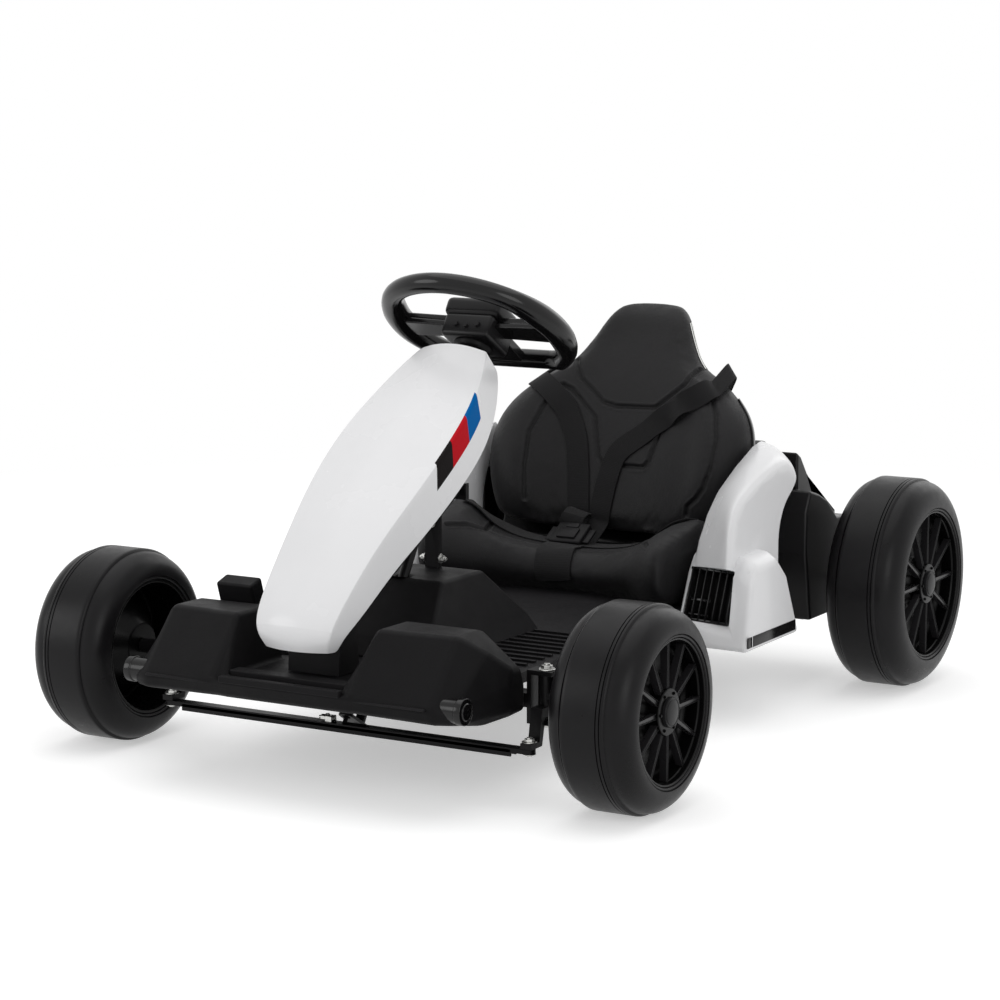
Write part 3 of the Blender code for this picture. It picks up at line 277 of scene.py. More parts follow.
def plated_finish(colours):
    tree, shader, place = base_finish("plated_zinc", colours.zinc, 0.28, metallic=1.0)
    brushed = noise(tree, place, 120.0, 4.0, stretch=(1.0, 1.0, 14.0))
    tint(tree, shader, colours.zinc, spread(tree, brushed, 0.0, 1.0), 0.80, 1.05)
    rough_and_bump(tree, shader, spread(tree, brushed, 0.20, 0.40), brushed, 0.2, 0.0001)


def tyre_finish(colours):
    """Hard moulded plastic: satin, with soft sheen streaks and a fine mould grain."""
    tree, shader, place = base_finish("moulded_tyre", colours.tyre, 0.36, specular=0.15)
    cloud = noise(tree, place, 11.0, 5.0)
    tint(tree, shader, colours.tyre, spread(tree, cloud, 0.0, 1.0), 0.85, 1.55)
    scuff = noise(tree, place, 60.0, 6.0, 0.65)
    rough = calc(tree, "ADD", spread(tree, cloud, 0.27, 0.38), spread(tree, scuff, -0.04, 0.06))
    grain = [("Height", noise(tree, place, 1400.0, 2.0)), ("Strength", 0.4), ("Distance", 0.0002)]
    rough_and_bump(tree, shader, rough, cloud, 0.35, 0.0016, grain)


def vinyl_finish(colours):
    """Seat vinyl: pebbled grain and fine wrinkles, with painted shade darkening the sewn channels.
    """
    tree, shader, place = base_finish("seat_vinyl", colours.vinyl, 0.5, specular=0.18)
    shader.inputs["Sheen Weight"].default_value = 0.03
    shader.inputs["Sheen Roughness"].default_value = 0.5
    pebble = add(tree, "TexVoronoi", [("Vector", place), ("Scale", 620.0)],
                 feature="DISTANCE_TO_EDGE").outputs["Distance"]
    cloud = noise(tree, place, 14.0, 5.0)
    # Painted shade: the colour darkens where the sewn channels are marked
    seam = add(tree, "Attribute", attribute_name="seam").outputs["Fac"]
    light = add(tree, "Math", [(0, spread(tree, cloud, 0.25, 1.0)), (1, seam)],
                operation="SUBTRACT", use_clamp=True)
    tint(tree, shader, colours.vinyl, light.outputs[0], 0.35, 1.35)
    grain = [("Height", spread(tree, pebble, 0.0, 1.0, 0.0, 0.25)), ("Strength", 0.45),
             ("Distance", 0.0003)]
    wrinkle = noise(tree, place, 38.0, 6.0, 0.6)
    rough_and_bump(tree, shader, spread(tree, cloud, 0.40, 0.56), wrinkle, 0.30, 0.0022, grain)


def webbing_finish(colours):
    """Woven strap: ribs across it and threads along it, from its own coordinates."""
    tree, shader, _ = base_finish("woven_strap", colours.black, 0.75, specular=0.15)
    shader.inputs["Sheen Weight"].default_value = 0.06
    shader.inputs["Sheen Roughness"].default_value = 0.4
    own = add(tree, "UVMap", uv_map="weave").outputs["UV"]
    ribs, threads = (
        add(tree, "TexWave", [("Vector", own), ("Scale", scale), ("Distortion", waver)],
            bands_direction=way).outputs["Fac"]
        for scale, waver, way in ((130.0, 0.2, "Y"), (210.0, 0.3, "X"))
    )
    weave = calc(tree, "MULTIPLY", ribs, threads)
    tint(tree, shader, tuple(c * 1.1 for c in colours.black), weave, 0.6, 2.0)
    rough_and_bump(tree, shader, spread(tree, weave, 0.65, 0.85, 0.0, 1.0), weave, 0.6, 0.0005)


class KART_OT_finishes(bpy.types.Operator):
    """Makes every finish of the kart"""

    bl_idname = "kart.finishes"
    bl_label = "Finishes"

    def execute(self, context):
        colours = context.scene.kart_colours
        gloss_white(colours)
        plain_finishes(colours)
        plated_finish(colours)
        tyre_finish(colours)
        vinyl_finish(colours)
        webbing_finish(colours)
        return {"FINISHED"}


# Mesh helpers


def linked(name, data):
    obj = bpy.data.objects.new(name, data)
    bpy.context.scene.collection.objects.link(obj)
    return obj


def as_mesh(bm, name="work"):
    mesh = bpy.data.meshes.new(name)
    bm.to_mesh(mesh)
    bm.free()
    return mesh


def placed(name, mesh, finish, replaces=(), body="chassis", smooth=35.0, slot=None):
    """Links a mesh as a piece that rides on a body and stands for CAD nodes."""
    mesh.materials.clear()
    mesh.materials.append(FINISHES[finish])
    mesh.shade_smooth()
    mesh.set_sharp_from_angle(angle=math.radians(smooth))
    obj = linked(name, mesh)
    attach(obj, body)
    if replaces:
        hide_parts(*replaces)
    return obj


def piece(name, bm, finish, *nodes, **settings):
    """A bmesh made a piece that stands for the named CAD nodes."""
    bmesh.ops.recalc_face_normals(bm, faces=bm.faces)
    return placed(name, as_mesh(bm, name), finish, nodes, **settings)


def evaluated(obj):
    """A mesh with the object's modifiers applied; the object goes."""
    graph = bpy.context.evaluated_depsgraph_get()
    mesh = bpy.data.meshes.new_from_object(obj.evaluated_get(graph))
    bpy.data.objects.remove(obj)
    return mesh


def as_bmesh(*meshes):
    bm = bmesh.new()
    for mesh in meshes:
        bm.from_mesh(mesh)
    return bm


def merged(node):
    """A copy of a CAD node's mesh with its flat faces whole."""
    bm = as_bmesh(NODES[node].data)
    bmesh.ops.remove_doubles(bm, verts=bm.verts, dist=0.00001)
    bmesh.ops.dissolve_limit(
        bm, angle_limit=math.radians(0.6), verts=bm.verts, edges=bm.edges, delimit={"NORMAL"}
    )
    return bm


def soft_edges(obj, width, segments=3, angle=28.0, clamp=True):
    made = obj.modifiers.new("edges", "BEVEL")
    made.width = width
    made.segments = segments
    made.limit_method = "ANGLE"
    made.angle_limit = math.radians(angle)
    made.harden_normals = True
    made.use_clamp_overlap = clamp


def subdivided(obj, levels):
    made = obj.modifiers.new("round", "SUBSURF")
    made.levels = levels
    made.render_levels = levels


def walled(obj, thickness, offset=0.0):
    made = obj.modifiers.new("wall", "SOLIDIFY")
    made.thickness = thickness
    made.offset = offset


def bridged(bm, lines):
    """Faces between each open row of points and the next."""
    for pair in zip(lines, lines[1:]):
        bmesh.ops.bridge_loops(bm, edges=[
            bm.edges.get(ends) or bm.edges.new(ends)
            for line in pair for ends in zip(line, line[1:])
        ])


def cone(bm, segments, base, top, depth, centre, turn=None, rise=0.0):
    """A capped cone, raised along its own axis, turned and then put in its place."""
    verts = bmesh.ops.create_cone(bm, cap_ends=True, segments=segments, radius1=base,
                                  radius2=top, depth=depth)["verts"]
    if rise:
        bmesh.ops.translate(bm, vec=(0, 0, rise), verts=verts)
    if turn:
        bmesh.ops.rotate(bm, cent=(0, 0, 0), matrix=turn, verts=verts)
    bmesh.ops.translate(bm, vec=centre, verts=verts)


def filleted(profile, steps=4):
    """A profile's points with each given corner rounded: (radius, height, fillet)."""
    found = []
    for i, (r, z, *fillet) in enumerate(profile):
        here = Vector((r, z))
        if not fillet:
            found.append((r, z))
            continue
        before = (Vector(profile[i - 1][:2]) - here).normalized() * fillet[0]
        after = (Vector(profile[(i + 1) % len(profile)][:2]) - here).normalized() * fillet[0]
        for k in range(steps + 1):
            t = k / steps
            point = here + before * (1 - t) ** 2 + after * t**2
            found.append((point.x, point.y))
    return found


def spun(profile, steps, closed=True):
    """A turned body about its own Z."""
    bm = bmesh.new()
    verts = [bm.verts.new((r, 0.0, z)) for r, z in profile]
    pairs = list(zip(verts, verts[1:]))
    if closed:
        pairs.append((verts[-1], verts[0]))
    edges = [bm.edges.new(pair) for pair in pairs]
    bmesh.ops.spin(
        bm, geom=verts + edges, cent=(0, 0, 0), axis=(0, 0, 1), dvec=(0, 0, 0),
        angle=2 * math.pi, steps=steps, use_merge=True, use_duplicate=False,
    )
    bmesh.ops.remove_doubles(bm, verts=bm.verts, dist=0.000001)
    bmesh.ops.recalc_face_normals(bm, faces=bm.faces)
    return bm


def block(bm, size, centre, taper=1.0, bevel=0.0, turn=None):
    """A block with bevelled edges, its +X end scaled across by taper."""
    verts = bmesh.ops.create_cube(bm, size=1.0)["verts"]
    bmesh.ops.scale(bm, vec=size, verts=verts)
    far = [v for v in verts if v.co.x > 0]
    bmesh.ops.scale(bm, vec=(1.0, taper, 1.0), verts=far)
    faces = list({f for v in verts for f in v.link_faces})
    if bevel:
        # In the order met, not as a set, so that each run gives the same faces
        edges = list(dict.fromkeys(e for v in verts for e in v.link_edges))
        made = bmesh.ops.bevel(bm, geom=edges, offset=bevel, segments=2 if bevel < 0.003 else 4,
                               profile=0.5, affect="EDGES", material=-1)
        verts = list({v for f in faces + made["faces"] if f.is_valid for v in f.verts})
    if turn:
        bmesh.ops.rotate(bm, cent=(0, 0, 0), matrix=turn, verts=verts)
    bmesh.ops.translate(bm, vec=centre, verts=verts)
    return verts


def lofted(rings):
    """A closed body bridged through rings of equally many points."""
    bm = bmesh.new()
    bm.edges.layers.float.new("crease_edge")
    loops = []
    for ring in rings:
        verts = [bm.verts.new(point) for point in ring]
        loops.append([bm.edges.new(pair) for pair in zip(verts, verts[1:] + verts[:1])])
    for low, high in zip(loops, loops[1:]):
        bmesh.ops.bridge_loops(bm, edges=low + high)
    bmesh.ops.edgeloop_fill(bm, edges=loops[0])
    bmesh.ops.edgeloop_fill(bm, edges=loops[-1])
    bmesh.ops.recalc_face_normals(bm, faces=bm.faces)
    return bm, loops


def creased(bm, edges, amount):
    layer = bm.edges.layers.float["crease_edge"]
    for edge in edges:
        edge[layer] = amount


def tube(points, radius, closed=False, sides=6, swells=None):
    """A round bar along points, as a bmesh; swells scale its radius at each point."""
    curve = bpy.data.curves.new("tube", "CURVE")
    curve.dimensions = "3D"
    curve.bevel_depth = radius
    curve.bevel_resolution = sides
    curve.use_fill_caps = not closed
    line = curve.splines.new("POLY")
    line.points.add(len(points) - 1)
    for i, point in enumerate(points):
        line.points[i].co = (*point, 1.0)
        if swells:
            line.points[i].radius = swells[i]
    line.use_cyclic_u = closed
    mesh = evaluated(linked("tube", curve))
    bpy.data.curves.remove(curve)
    bm = as_bmesh(mesh)
    bpy.data.meshes.remove(mesh)
    bmesh.ops.remove_doubles(bm, verts=bm.verts, dist=0.00001)
    return bm


def hex_bolt(bm, centre, direction, radius, height):
    """A washer, a six-sided head and a short thread end, pointing along a direction."""
    turn = Vector(direction).to_track_quat("Z", "Y").to_matrix()
    stack = ((24, 1.45, 0.0, 0.20), (6, 1.0, 0.20, 0.85), (16, 0.55, 0.85, 1.15))
    for segments, width, low, high in stack:
        cone(bm, segments, radius * width, radius * width * 0.94, (high - low) * height,
             centre, turn, (low + high) / 2 * height)


# Wheels: body name, side, station, height, radius and bore
WHEELS = [
    (f"{end}_{name}", sign, station, radius, bore)
    for end, station, radius, bore in (
        ("front", 0.0, 0.130, 0.091),
        ("rear", 0.841, 0.153, 0.107),
    )
    for name, sign in SIDES
]
WHEEL_X = 0.3905
HALF_TYRE = 0.0585
CAP_SEAT = HALF_TYRE - 0.008
HUB_BOLTS = 0.0242
SHOULDER = 0.0305


def on_axle(bm, sign, station, radius):
    """Turns a body about Z on to its wheel's axle, outer side outwards."""
    turn = Matrix.Rotation(sign * math.pi / 2, 4, "Y")
    bm.transform(Matrix.Translation((sign * WHEEL_X, station + AXLE, radius)) @ turn)


def tyre_section(radius, bore, groove):
    """A tyre's outline: a raised band, a double groove on its outer part, soft shoulders."""
    base = radius - 0.0036
    drop = base - bore - 0.005
    side = [
        (bore + 0.0002, HALF_TYRE - 0.016),
        (bore + 0.0002, HALF_TYRE - 0.0034, 0.0012),
        (bore + 0.0012, HALF_TYRE - 0.0012, 0.0008), (bore + 0.0034, HALF_TYRE - 0.0012, 0.0008),
        (bore + 0.0044, HALF_TYRE - 0.0026, 0.0008),
    ]
    shoulder = [
        (base - drop + drop * math.sin(t), SHOULDER + (HALF_TYRE - SHOULDER) * math.cos(t))
        for t in (math.pi / 2 * i / 16 for i in range(17))
    ]
    outer = [
        (base + 0.0002, 0.0285), (radius - 0.0008, 0.0272), (radius - 0.0002, 0.0262),
        (radius, 0.0238), (radius - groove, 0.0230), (radius, 0.0222), (radius, 0.0190),
        (radius - groove, 0.0182), (radius, 0.0174),
    ]
    inner = [
        (base + 0.0002, 0.0326), (base - groove * 0.5, 0.0318), (base + 0.0004, 0.0310),
        (radius - 0.0008, 0.0300), (radius - 0.0002, 0.0288), (radius, 0.0250),
    ]
    return filleted(side + shoulder + outer) + [
        (r, -z) for r, z in reversed(filleted(side + shoulder[:-1] + inner))
    ]


class KART_OT_tyres(bpy.types.Operator):
    """Four moulded tyres with a raised band between double grooves"""

    bl_idname = "kart.tyres"
    bl_label = "Tyres"

    def execute(self, context):
        sizes = context.scene.kart_wheels
        for name, sign, station, radius, bore in WHEELS:
            bm = spun(tyre_section(radius, bore, sizes.groove), sizes.steps)
            on_axle(bm, sign, station, radius)
            piece(f"moulded_tyre_{name}", bm, "moulded_tyre", f"tyre_{name}",
                  body=f"wheel_{name}", smooth=50)
        return {"FINISHED"}


def rim_section(bore):
    outer = bore - 0.0003
    inner = outer - 0.0042
    web = HALF_TYRE - 0.034
    return filleted([
        (0.0068, CAP_SEAT), (0.0290, CAP_SEAT, 0.0016), (0.0300, web + 0.010, 0.004),
        (0.0360, web, 0.004), (inner - 0.004, web, 0.003), (inner, web + 0.006, 0.003),
        (inner, HALF_TYRE - 0.0120, 0.001), (inner + 0.0012, HALF_TYRE - 0.0105, 0.001),
        (inner + 0.0016, HALF_TYRE - 0.0034, 0.0012), (outer, HALF_TYRE - 0.0030, 0.0008),
        (outer, 0.0), (outer, -HALF_TYRE + 0.003, 0.001), (inner, -HALF_TYRE + 0.003, 0.001),
        (inner, web - 0.012, 0.006), (0.0300, -HALF_TYRE + 0.0205, 0.002),
        (0.0068, -HALF_TYRE + 0.0205),
    ])


def spoke(bm, root, tip, sizes, angle):
    """A tapered bar with a channel in its face, so that its two edges stand up."""
    made = block(bm, (tip - root, sizes.spoke_root, 0.010), (0, 0, 0),
                 taper=sizes.spoke_tip / sizes.spoke_root)
    face = max({f for v in made for f in v.link_faces}, key=lambda f: f.calc_center_median().z)
    bmesh.ops.inset_individual(bm, faces=[face], thickness=0.0012, depth=0.0)
    bmesh.ops.translate(bm, vec=(0, 0, -0.0022), verts=face.verts[:])
    verts = list({w for v in made for f in v.link_faces for w in f.verts} | set(face.verts))
    bmesh.ops.translate(bm, vec=((root + tip) / 2, 0, HALF_TYRE - 0.0145), verts=verts)
    turn = Matrix.Rotation(angle, 3, "Z")
    bmesh.ops.rotate(bm, cent=(0, 0, 0), matrix=turn, verts=verts)


class KART_OT_rims(bpy.types.Operator):
    """Four dished rims with thin double-edged spokes and a bolted hub"""

    bl_idname = "kart.rims"
    bl_label = "Rims"

    def execute(self, context):
        sizes = context.scene.kart_wheels
        for name, sign, station, radius, bore in WHEELS:
            bm = spun(rim_section(bore), sizes.steps)
            star = bmesh.new()
            for i in range(sizes.spokes):
                spoke(star, 0.026, bore - 0.0030, sizes, 2 * math.pi * i / sizes.spokes)
            on_axle(star, sign, station, radius)
            # The spokes' finish is painted lighter than the rim's, as a highlight
            arms = piece(f"spoke_set_{name}", star, "spoke_satin", body=f"wheel_{name}",
                         smooth=32)
            soft_edges(arms, 0.0005, 2, 50)
            for i in range(6):
                turn = 2 * math.pi * (i + 0.5) / 6
                centre = (
                    HUB_BOLTS * math.cos(turn), HUB_BOLTS * math.sin(turn), CAP_SEAT - 0.0004
                )
                hex_bolt(bm, centre, (0, 0, 1), 0.0022, 0.0024)
            on_axle(bm, sign, station, radius)
            rim = piece(f"spoked_rim_{name}", bm, "rim_black", f"rim_{name}",
                        body=f"wheel_{name}", smooth=32)
            soft_edges(rim, 0.0005, 2, 50)
        return {"FINISHED"}


class KART_OT_hub_caps(bpy.types.Operator):
    """Satin caps on the hubs"""

    bl_idname = "kart.hub_caps"
    bl_label = "Hub caps"

    def execute(self, context):
        section = filleted([
            (0.0, CAP_SEAT + 0.0062), (0.0090, CAP_SEAT + 0.0060),
            (0.0156, CAP_SEAT + 0.0050, 0.0006), (0.0160, CAP_SEAT + 0.0040, 0.0004),
            (0.0172, CAP_SEAT + 0.0040, 0.0004), (0.0178, CAP_SEAT + 0.0046, 0.0004),
            (0.0188, CAP_SEAT + 0.0036, 0.0008), (0.0190, CAP_SEAT + 0.0002),
            (0.0, CAP_SEAT + 0.0002),
        ])
        for name, sign, station, radius, _ in WHEELS:
            bm = spun(section, 64, closed=False)
            on_axle(bm, sign, station, radius)
            piece(f"satin_cap_{name}", bm, "satin_cap", f"hub_cap_{name}",
                  body=f"wheel_{name}", smooth=40)
        return {"FINISHED"}


# The nose shield from its tip up: half width of the face, then (station, height) of the
# fold and of the side wall's free edge; and how far its middle is crowned
NOSE = [
    (0.046, (-0.148, 0.187), (-0.134, 0.187)),
    (0.057, (-0.163, 0.213), (-0.138, 0.205)),
    (0.063, (-0.128, 0.256), (-0.102, 0.228)),
    (0.070, (-0.068, 0.313), (-0.040, 0.276)),
    (0.080, (-0.012, 0.358), (0.016, 0.312)),
    (0.086, (0.045, 0.400), (0.076, 0.352)),
    (0.086, (0.098, 0.436), (0.134, 0.388)),
    (0.080, (0.148, 0.468), (0.184, 0.424)),
    (0.066, (0.196, 0.503), (0.226, 0.466)),
    (0.054, (0.224, 0.523), (0.246, 0.496)),
    (0.050, (0.230, 0.527), (0.248, 0.502)),
]
CROWN = 0.012


class KART_OT_nose(bpy.types.Operator):
    """The white nose shield with crisp folds, thin walls and a band of three fields"""

    bl_idname = "kart.nose"
    bl_label = "Nose shield"

    def execute(self, context):
        bm = bmesh.new()
        bm.edges.layers.float.new("crease_edge")
        wall = bm.verts.layers.float.new("wall")
        along = bm.verts.layers.float.new("station")
        rows = []
        for half, (y, z), (wall_y, wall_z) in NOSE:
            fold = Vector((half, y + AXLE, z))
            edge = Vector((half + 0.005, wall_y + AXLE, wall_z))
            out = Vector((0, y - wall_y, z - wall_z)).normalized() * CROWN
            middle = Vector((0.0, y + AXLE, z))
            right = [
                (fold.lerp(middle, 0.45) + out * 0.75, -0.5),
                (fold, 0.0),
                (fold.lerp(edge, 0.5), 0.5),
                (edge, 1.0),
            ]
            row = [(Vector((-p.x, p.y, p.z)), -9.0) for p, _ in reversed(right)]
            row += [(middle + out, -1.0)] + right
            rows.append([bm.verts.new(point) for point, _ in row])
            for vert, (_, share) in zip(rows[-1], row):
                vert[wall] = share
                vert[along] = y
        bridged(bm, rows)
        for low, high in zip(rows, rows[1:]):
            creased(bm, [bm.edges.get((low[i], high[i])) for i in (2, 6)], 0.82)
        nose = piece("crowned_nose", bm, "white_banded", "nose_shield", smooth=60)
        subdivided(nose, 3)
        walled(nose, 0.003, -1.0)
        soft_edges(nose, 0.0009, 2, 60)
        return {"FINISHED"}


# Moulded and steel pieces that keep their node's shape and get rounded edges: node, finish,
# body and edge radius
ROUNDED = (
    ("floor_pan", "grained_black", "chassis", 0.0012),
    ("tunnel", "grained_black", "chassis", 0.0050),
    ("accelerator_pedal", "grained_black", "chassis", 0.0035),
    ("nose_bracket", "moulded_black", "chassis", 0.0022),
    ("rear_deck", "satin_black", "chassis", 0.0060),
    ("motor_cover_left", "satin_black", "chassis", 0.0040),
    ("motor_cover_right", "satin_black", "chassis", 0.0040),
    ("battery_box", "moulded_black", "chassis", 0.0020),
    ("steering_post", "painted_steel", "chassis", 0.0009),
    ("front_axle_beam", "painted_steel", "chassis", 0.0012),
    ("frame_rail_left", "painted_steel", "chassis", 0.0028),
    ("frame_rail_right", "painted_steel", "chassis", 0.0028),
    ("rear_cross_member", "painted_steel", "chassis", 0.0028),
    ("knuckle_left", "painted_steel", "knuckle_left", 0.0010),
    ("knuckle_right", "painted_steel", "knuckle_right", 0.0010),
    ("tie_rod", "painted_steel", "tie_rod", 0.0010),
    ("steering_column", "painted_steel", "steering", 0.0006),
)


# The front tub's section at stations across: X, then (station, height) of the lip, front
# bottom, keel, back bottom, back top, rear top edge and front top edge
TUB = [
    (0.086, (-0.191, 0.147), (-0.180, 0.124), (-0.098, 0.106), (-0.026, 0.112),
     (-0.026, 0.149), (-0.060, 0.150), (-0.172, 0.149)),
    (0.103, (-0.188, 0.146), (-0.178, 0.124), (-0.098, 0.106), (-0.026, 0.112),
     (-0.026, 0.150), (-0.056, 0.219), (-0.128, 0.220)),
    (0.213, (-0.182, 0.140), (-0.176, 0.122), (-0.098, 0.106), (-0.026, 0.112),
     (-0.026, 0.150), (-0.054, 0.218), (-0.116, 0.219)),
    (0.236, (-0.172, 0.136), (-0.166, 0.122), (-0.096, 0.108), (-0.026, 0.113),
     (-0.026, 0.150), (-0.040, 0.190), (-0.088, 0.198)),
    (0.256, (-0.064, 0.150), (-0.062, 0.126), (-0.052, 0.116), (-0.026, 0.116),
     (-0.026, 0.150), (-0.034, 0.170), (-0.056, 0.172)),
]


class KART_OT_tub(bpy.types.Operator):
    """The front tub with wide rounded edges, a lip and a ledge in its channel"""

    bl_idname = "kart.tub"
    bl_label = "Front tub"

    def execute(self, context):
        rings = [[(-x, y + AXLE, z) for y, z in points] for x, *points in reversed(TUB)]
        rings += [[(x, y + AXLE, z) for y, z in points] for x, *points in TUB]
        bm, _ = lofted(rings)
        tub = piece("moulded_tub", bm, "grained_black", "front_tub", smooth=28)
        soft_edges(tub, 0.0095, 4, 12)
        lip = bmesh.new()
        block(lip, (0.178, 0.011, 0.0085), (0.0, -0.1865 + AXLE, 0.1485))
        block(lip, (0.174, 0.022, 0.0120), (0.0, -0.1600 + AXLE, 0.1510))
        for x in (0.155, -0.155):
            block(lip, (0.104, 0.0050, 0.0034), (x, -0.1830 + AXLE, 0.1410))
        soft_edges(piece("tub_lip", lip, "grained_black", smooth=30), 0.0034)
        for name, sign in SIDES:
            stub = spun(filleted([
                (0.0, 0.2515), (0.0100, 0.2515, 0.0005), (0.0108, 0.2500, 0.0005),
                (0.0168, 0.2500, 0.0014), (0.0168, 0.2410, 0.0010), (0.0152, 0.2400, 0.0005),
                (0.0152, 0.2100), (0.0, 0.2100),
            ]), 48, closed=False)
            turn = Matrix.Rotation(sign * math.pi / 2, 4, "Y")
            stub.transform(Matrix.Translation((0.0, -0.158 + AXLE, 0.139)) @ turn)
            piece(f"capped_stub_{name}", stub, "gloss_black", f"bumper_tube_{name}", smooth=40)
        return {"FINISHED"}


# Pieces whose few short edges would otherwise hold back the radius of the long ones
WIDE_EDGES = ("tunnel", "rear_deck", "motor_cover_left", "motor_cover_right", "accelerator_pedal")


class KART_OT_rounded(bpy.types.Operator):
    """Floor, deck, covers and steel work with rounded edges"""

    bl_idname = "kart.rounded"
    bl_label = "Moulded and steel pieces"

    def execute(self, context):
        for node, finish, body, width in ROUNDED:
            made = piece(f"rounded_{node}", merged(node), finish, node, body=body, smooth=28)
            soft_edges(made, width, clamp=node not in WIDE_EDGES)
        NODES["rear_axle"].data.materials.clear()
        NODES["rear_axle"].data.materials.append(FINISHES["plated_zinc"])
        return {"FINISHED"}


def boolean_mesh(mesh, other, operation):
    """One mesh joined with another, or cut by it."""
    whole, tool = linked("operand", mesh), linked("operand", other)
    made = whole.modifiers.new("operation", "BOOLEAN")
    made.operation = operation
    made.solver = "EXACT"
    made.object = tool
    result = evaluated(whole)
    bpy.data.objects.remove(tool)
    return result


def finished_mesh(bm, levels=0, bevel=0.0):
    """A bmesh made a mesh, subdivided or with its edges rounded."""
    holder = linked("work", as_mesh(bm))
    if levels:
        subdivided(holder, levels)
    if bevel:
        soft_edges(holder, bevel, 4)
    return evaluated(holder)


# The pod's fin: distance from the middle, then its outline (station, height) up the front
# edge and down the hollow rear edge
FIN = [
    (0.2225, (0.468, 0.142), (0.502, 0.212), (0.523, 0.246), (0.547, 0.278), (0.579, 0.307),
     (0.644, 0.337), (0.700, 0.360), (0.728, 0.366), (0.745, 0.350), (0.722, 0.322),
     (0.694, 0.290), (0.682, 0.226), (0.690, 0.142)),
    (0.256, (0.466, 0.142), (0.477, 0.214), (0.487, 0.250), (0.504, 0.288), (0.534, 0.317),
     (0.587, 0.346), (0.650, 0.364), (0.706, 0.365), (0.737, 0.342), (0.714, 0.318),
     (0.680, 0.288), (0.660, 0.226), (0.672, 0.142)),
    (0.295, (0.462, 0.142), (0.458, 0.222), (0.459, 0.255), (0.464, 0.290), (0.490, 0.315),
     (0.560, 0.340), (0.620, 0.353), (0.664, 0.353), (0.695, 0.322), (0.676, 0.304),
     (0.636, 0.284), (0.622, 0.226), (0.640, 0.142)),
    (0.3005, (0.472, 0.142), (0.468, 0.222), (0.469, 0.253), (0.474, 0.284), (0.498, 0.307),
     (0.562, 0.331), (0.621, 0.343), (0.660, 0.343), (0.685, 0.321), (0.669, 0.305),
     (0.629, 0.282), (0.615, 0.226), (0.632, 0.142)),
]
# The lower box of the pod, the same way
SILL = [
    (0.2170, (0.452, 0.108), (0.4975, 0.205), (0.516, 0.230), (0.600, 0.236), (0.652, 0.200),
     (0.668, 0.108)),
    (0.318, (0.448, 0.108), (0.4650, 0.214), (0.480, 0.234), (0.548, 0.236), (0.588, 0.200),
     (0.632, 0.108)),
    (0.335, (0.443, 0.108), (0.4640, 0.200), (0.478, 0.222), (0.542, 0.226), (0.578, 0.196),
     (0.622, 0.108)),
]
# The vent's middle on the leaning front, its width and height, and how it leans and turns
VENT = Vector((0.2640, 0.4750 + AXLE, 0.178))
VENT_SIZE = (0.080, 0.076)
VENT_LEAN = math.radians(-17)
VENT_TURN = math.radians(-11)


def pod_rings(sections, sign):
    return [[(sign * x, y + AXLE, z) for y, z in outline] for x, *outline in sections]


def vent_frame(sign):
    """The turn of a vent on its pod, and its middle."""
    turn = Matrix.Rotation(sign * VENT_TURN, 3, "Z") @ Matrix.Rotation(VENT_LEAN, 3, "X")
    return turn, Vector((sign * VENT.x, VENT.y, VENT.z))


class KART_OT_pods(bpy.types.Operator):
    """White side pods: a swept fin grown out of a box, with a recess for the grille"""

    bl_idname = "kart.pods"
    bl_label = "Side pods"

    def execute(self, context):
        for name, sign in SIDES:
            fin, loops = lofted(pod_rings(FIN, sign))
            for loop, amount in zip(loops, (0.8, 0.0, 0.35, 0.6)):
                creased(fin, loop, amount)
            sill, _ = lofted(pod_rings(SILL, sign))
            body = boolean_mesh(
                finished_mesh(fin, levels=3), finished_mesh(sill, bevel=0.0095), "UNION"
            )
            window = bmesh.new()
            width, height = VENT_SIZE
            turn, middle = vent_frame(sign)
            block(window, (width, 0.072, height), middle + turn @ Vector((0, -0.024, 0)),
                  bevel=0.0045, turn=turn)
            mesh = boolean_mesh(body, finished_mesh(window), "DIFFERENCE")
            pod = placed(
                f"swept_pod_{name}", mesh, "white_gloss", (f"side_pod_{name}",), smooth=40
            )
            soft_edges(pod, 0.0009, 2, 55)
            strip = bmesh.new()
            for start, end in ((0.4480, 0.4620), (0.4650, 0.6060)):
                block(strip, (0.0016, end - start, 0.0150),
                      (sign * 0.3349, (start + end) / 2 + AXLE, 0.1225), bevel=0.0006)
            piece(f"pod_strip_{name}", strip, "gloss_black")
        return {"FINISHED"}


class KART_OT_vents(bpy.types.Operator):
    """Grilles of upright slats with short cross bars in the pods' recesses"""

    bl_idname = "kart.vents"
    bl_label = "Vent grilles"

    def execute(self, context):
        width, height = VENT_SIZE
        slats = 6
        pitch = (width - 0.008) / slats
        for name, sign in SIDES:
            turn, middle = vent_frame(sign)
            bars = [((width - 0.001, 0.003, height - 0.001), (0.0, 0.0095, 0.0), 0.0006)]
            for z in (0.0025 - height / 2, height / 2 - 0.0025):
                bars.append(((width - 0.001, 0.010, 0.0040), (0.0, 0.004, z), 0.0010))
            for i in range(slats + 1):
                step = (i - slats / 2) * pitch
                bars.append(((0.0022, 0.0110, height - 0.004), (step, 0.0035, 0.0), 0.0007))
            for z, size in ((-0.0074, 0.0046), (-0.0280, 0.0026)):
                place = (-sign * pitch * 1.2, 0.0045, z)
                bars.append(((pitch * 2.8, 0.0080, size), place, 0.0008))
            bm = bmesh.new()
            for size, place, bevel in bars:
                block(bm, size, middle + turn @ Vector(place), bevel=bevel, turn=turn)
            piece(f"slatted_grille_{name}", bm, "gloss_black", f"vent_grille_{name}",
                  smooth=30, slot="black_plastic")
        return {"FINISHED"}


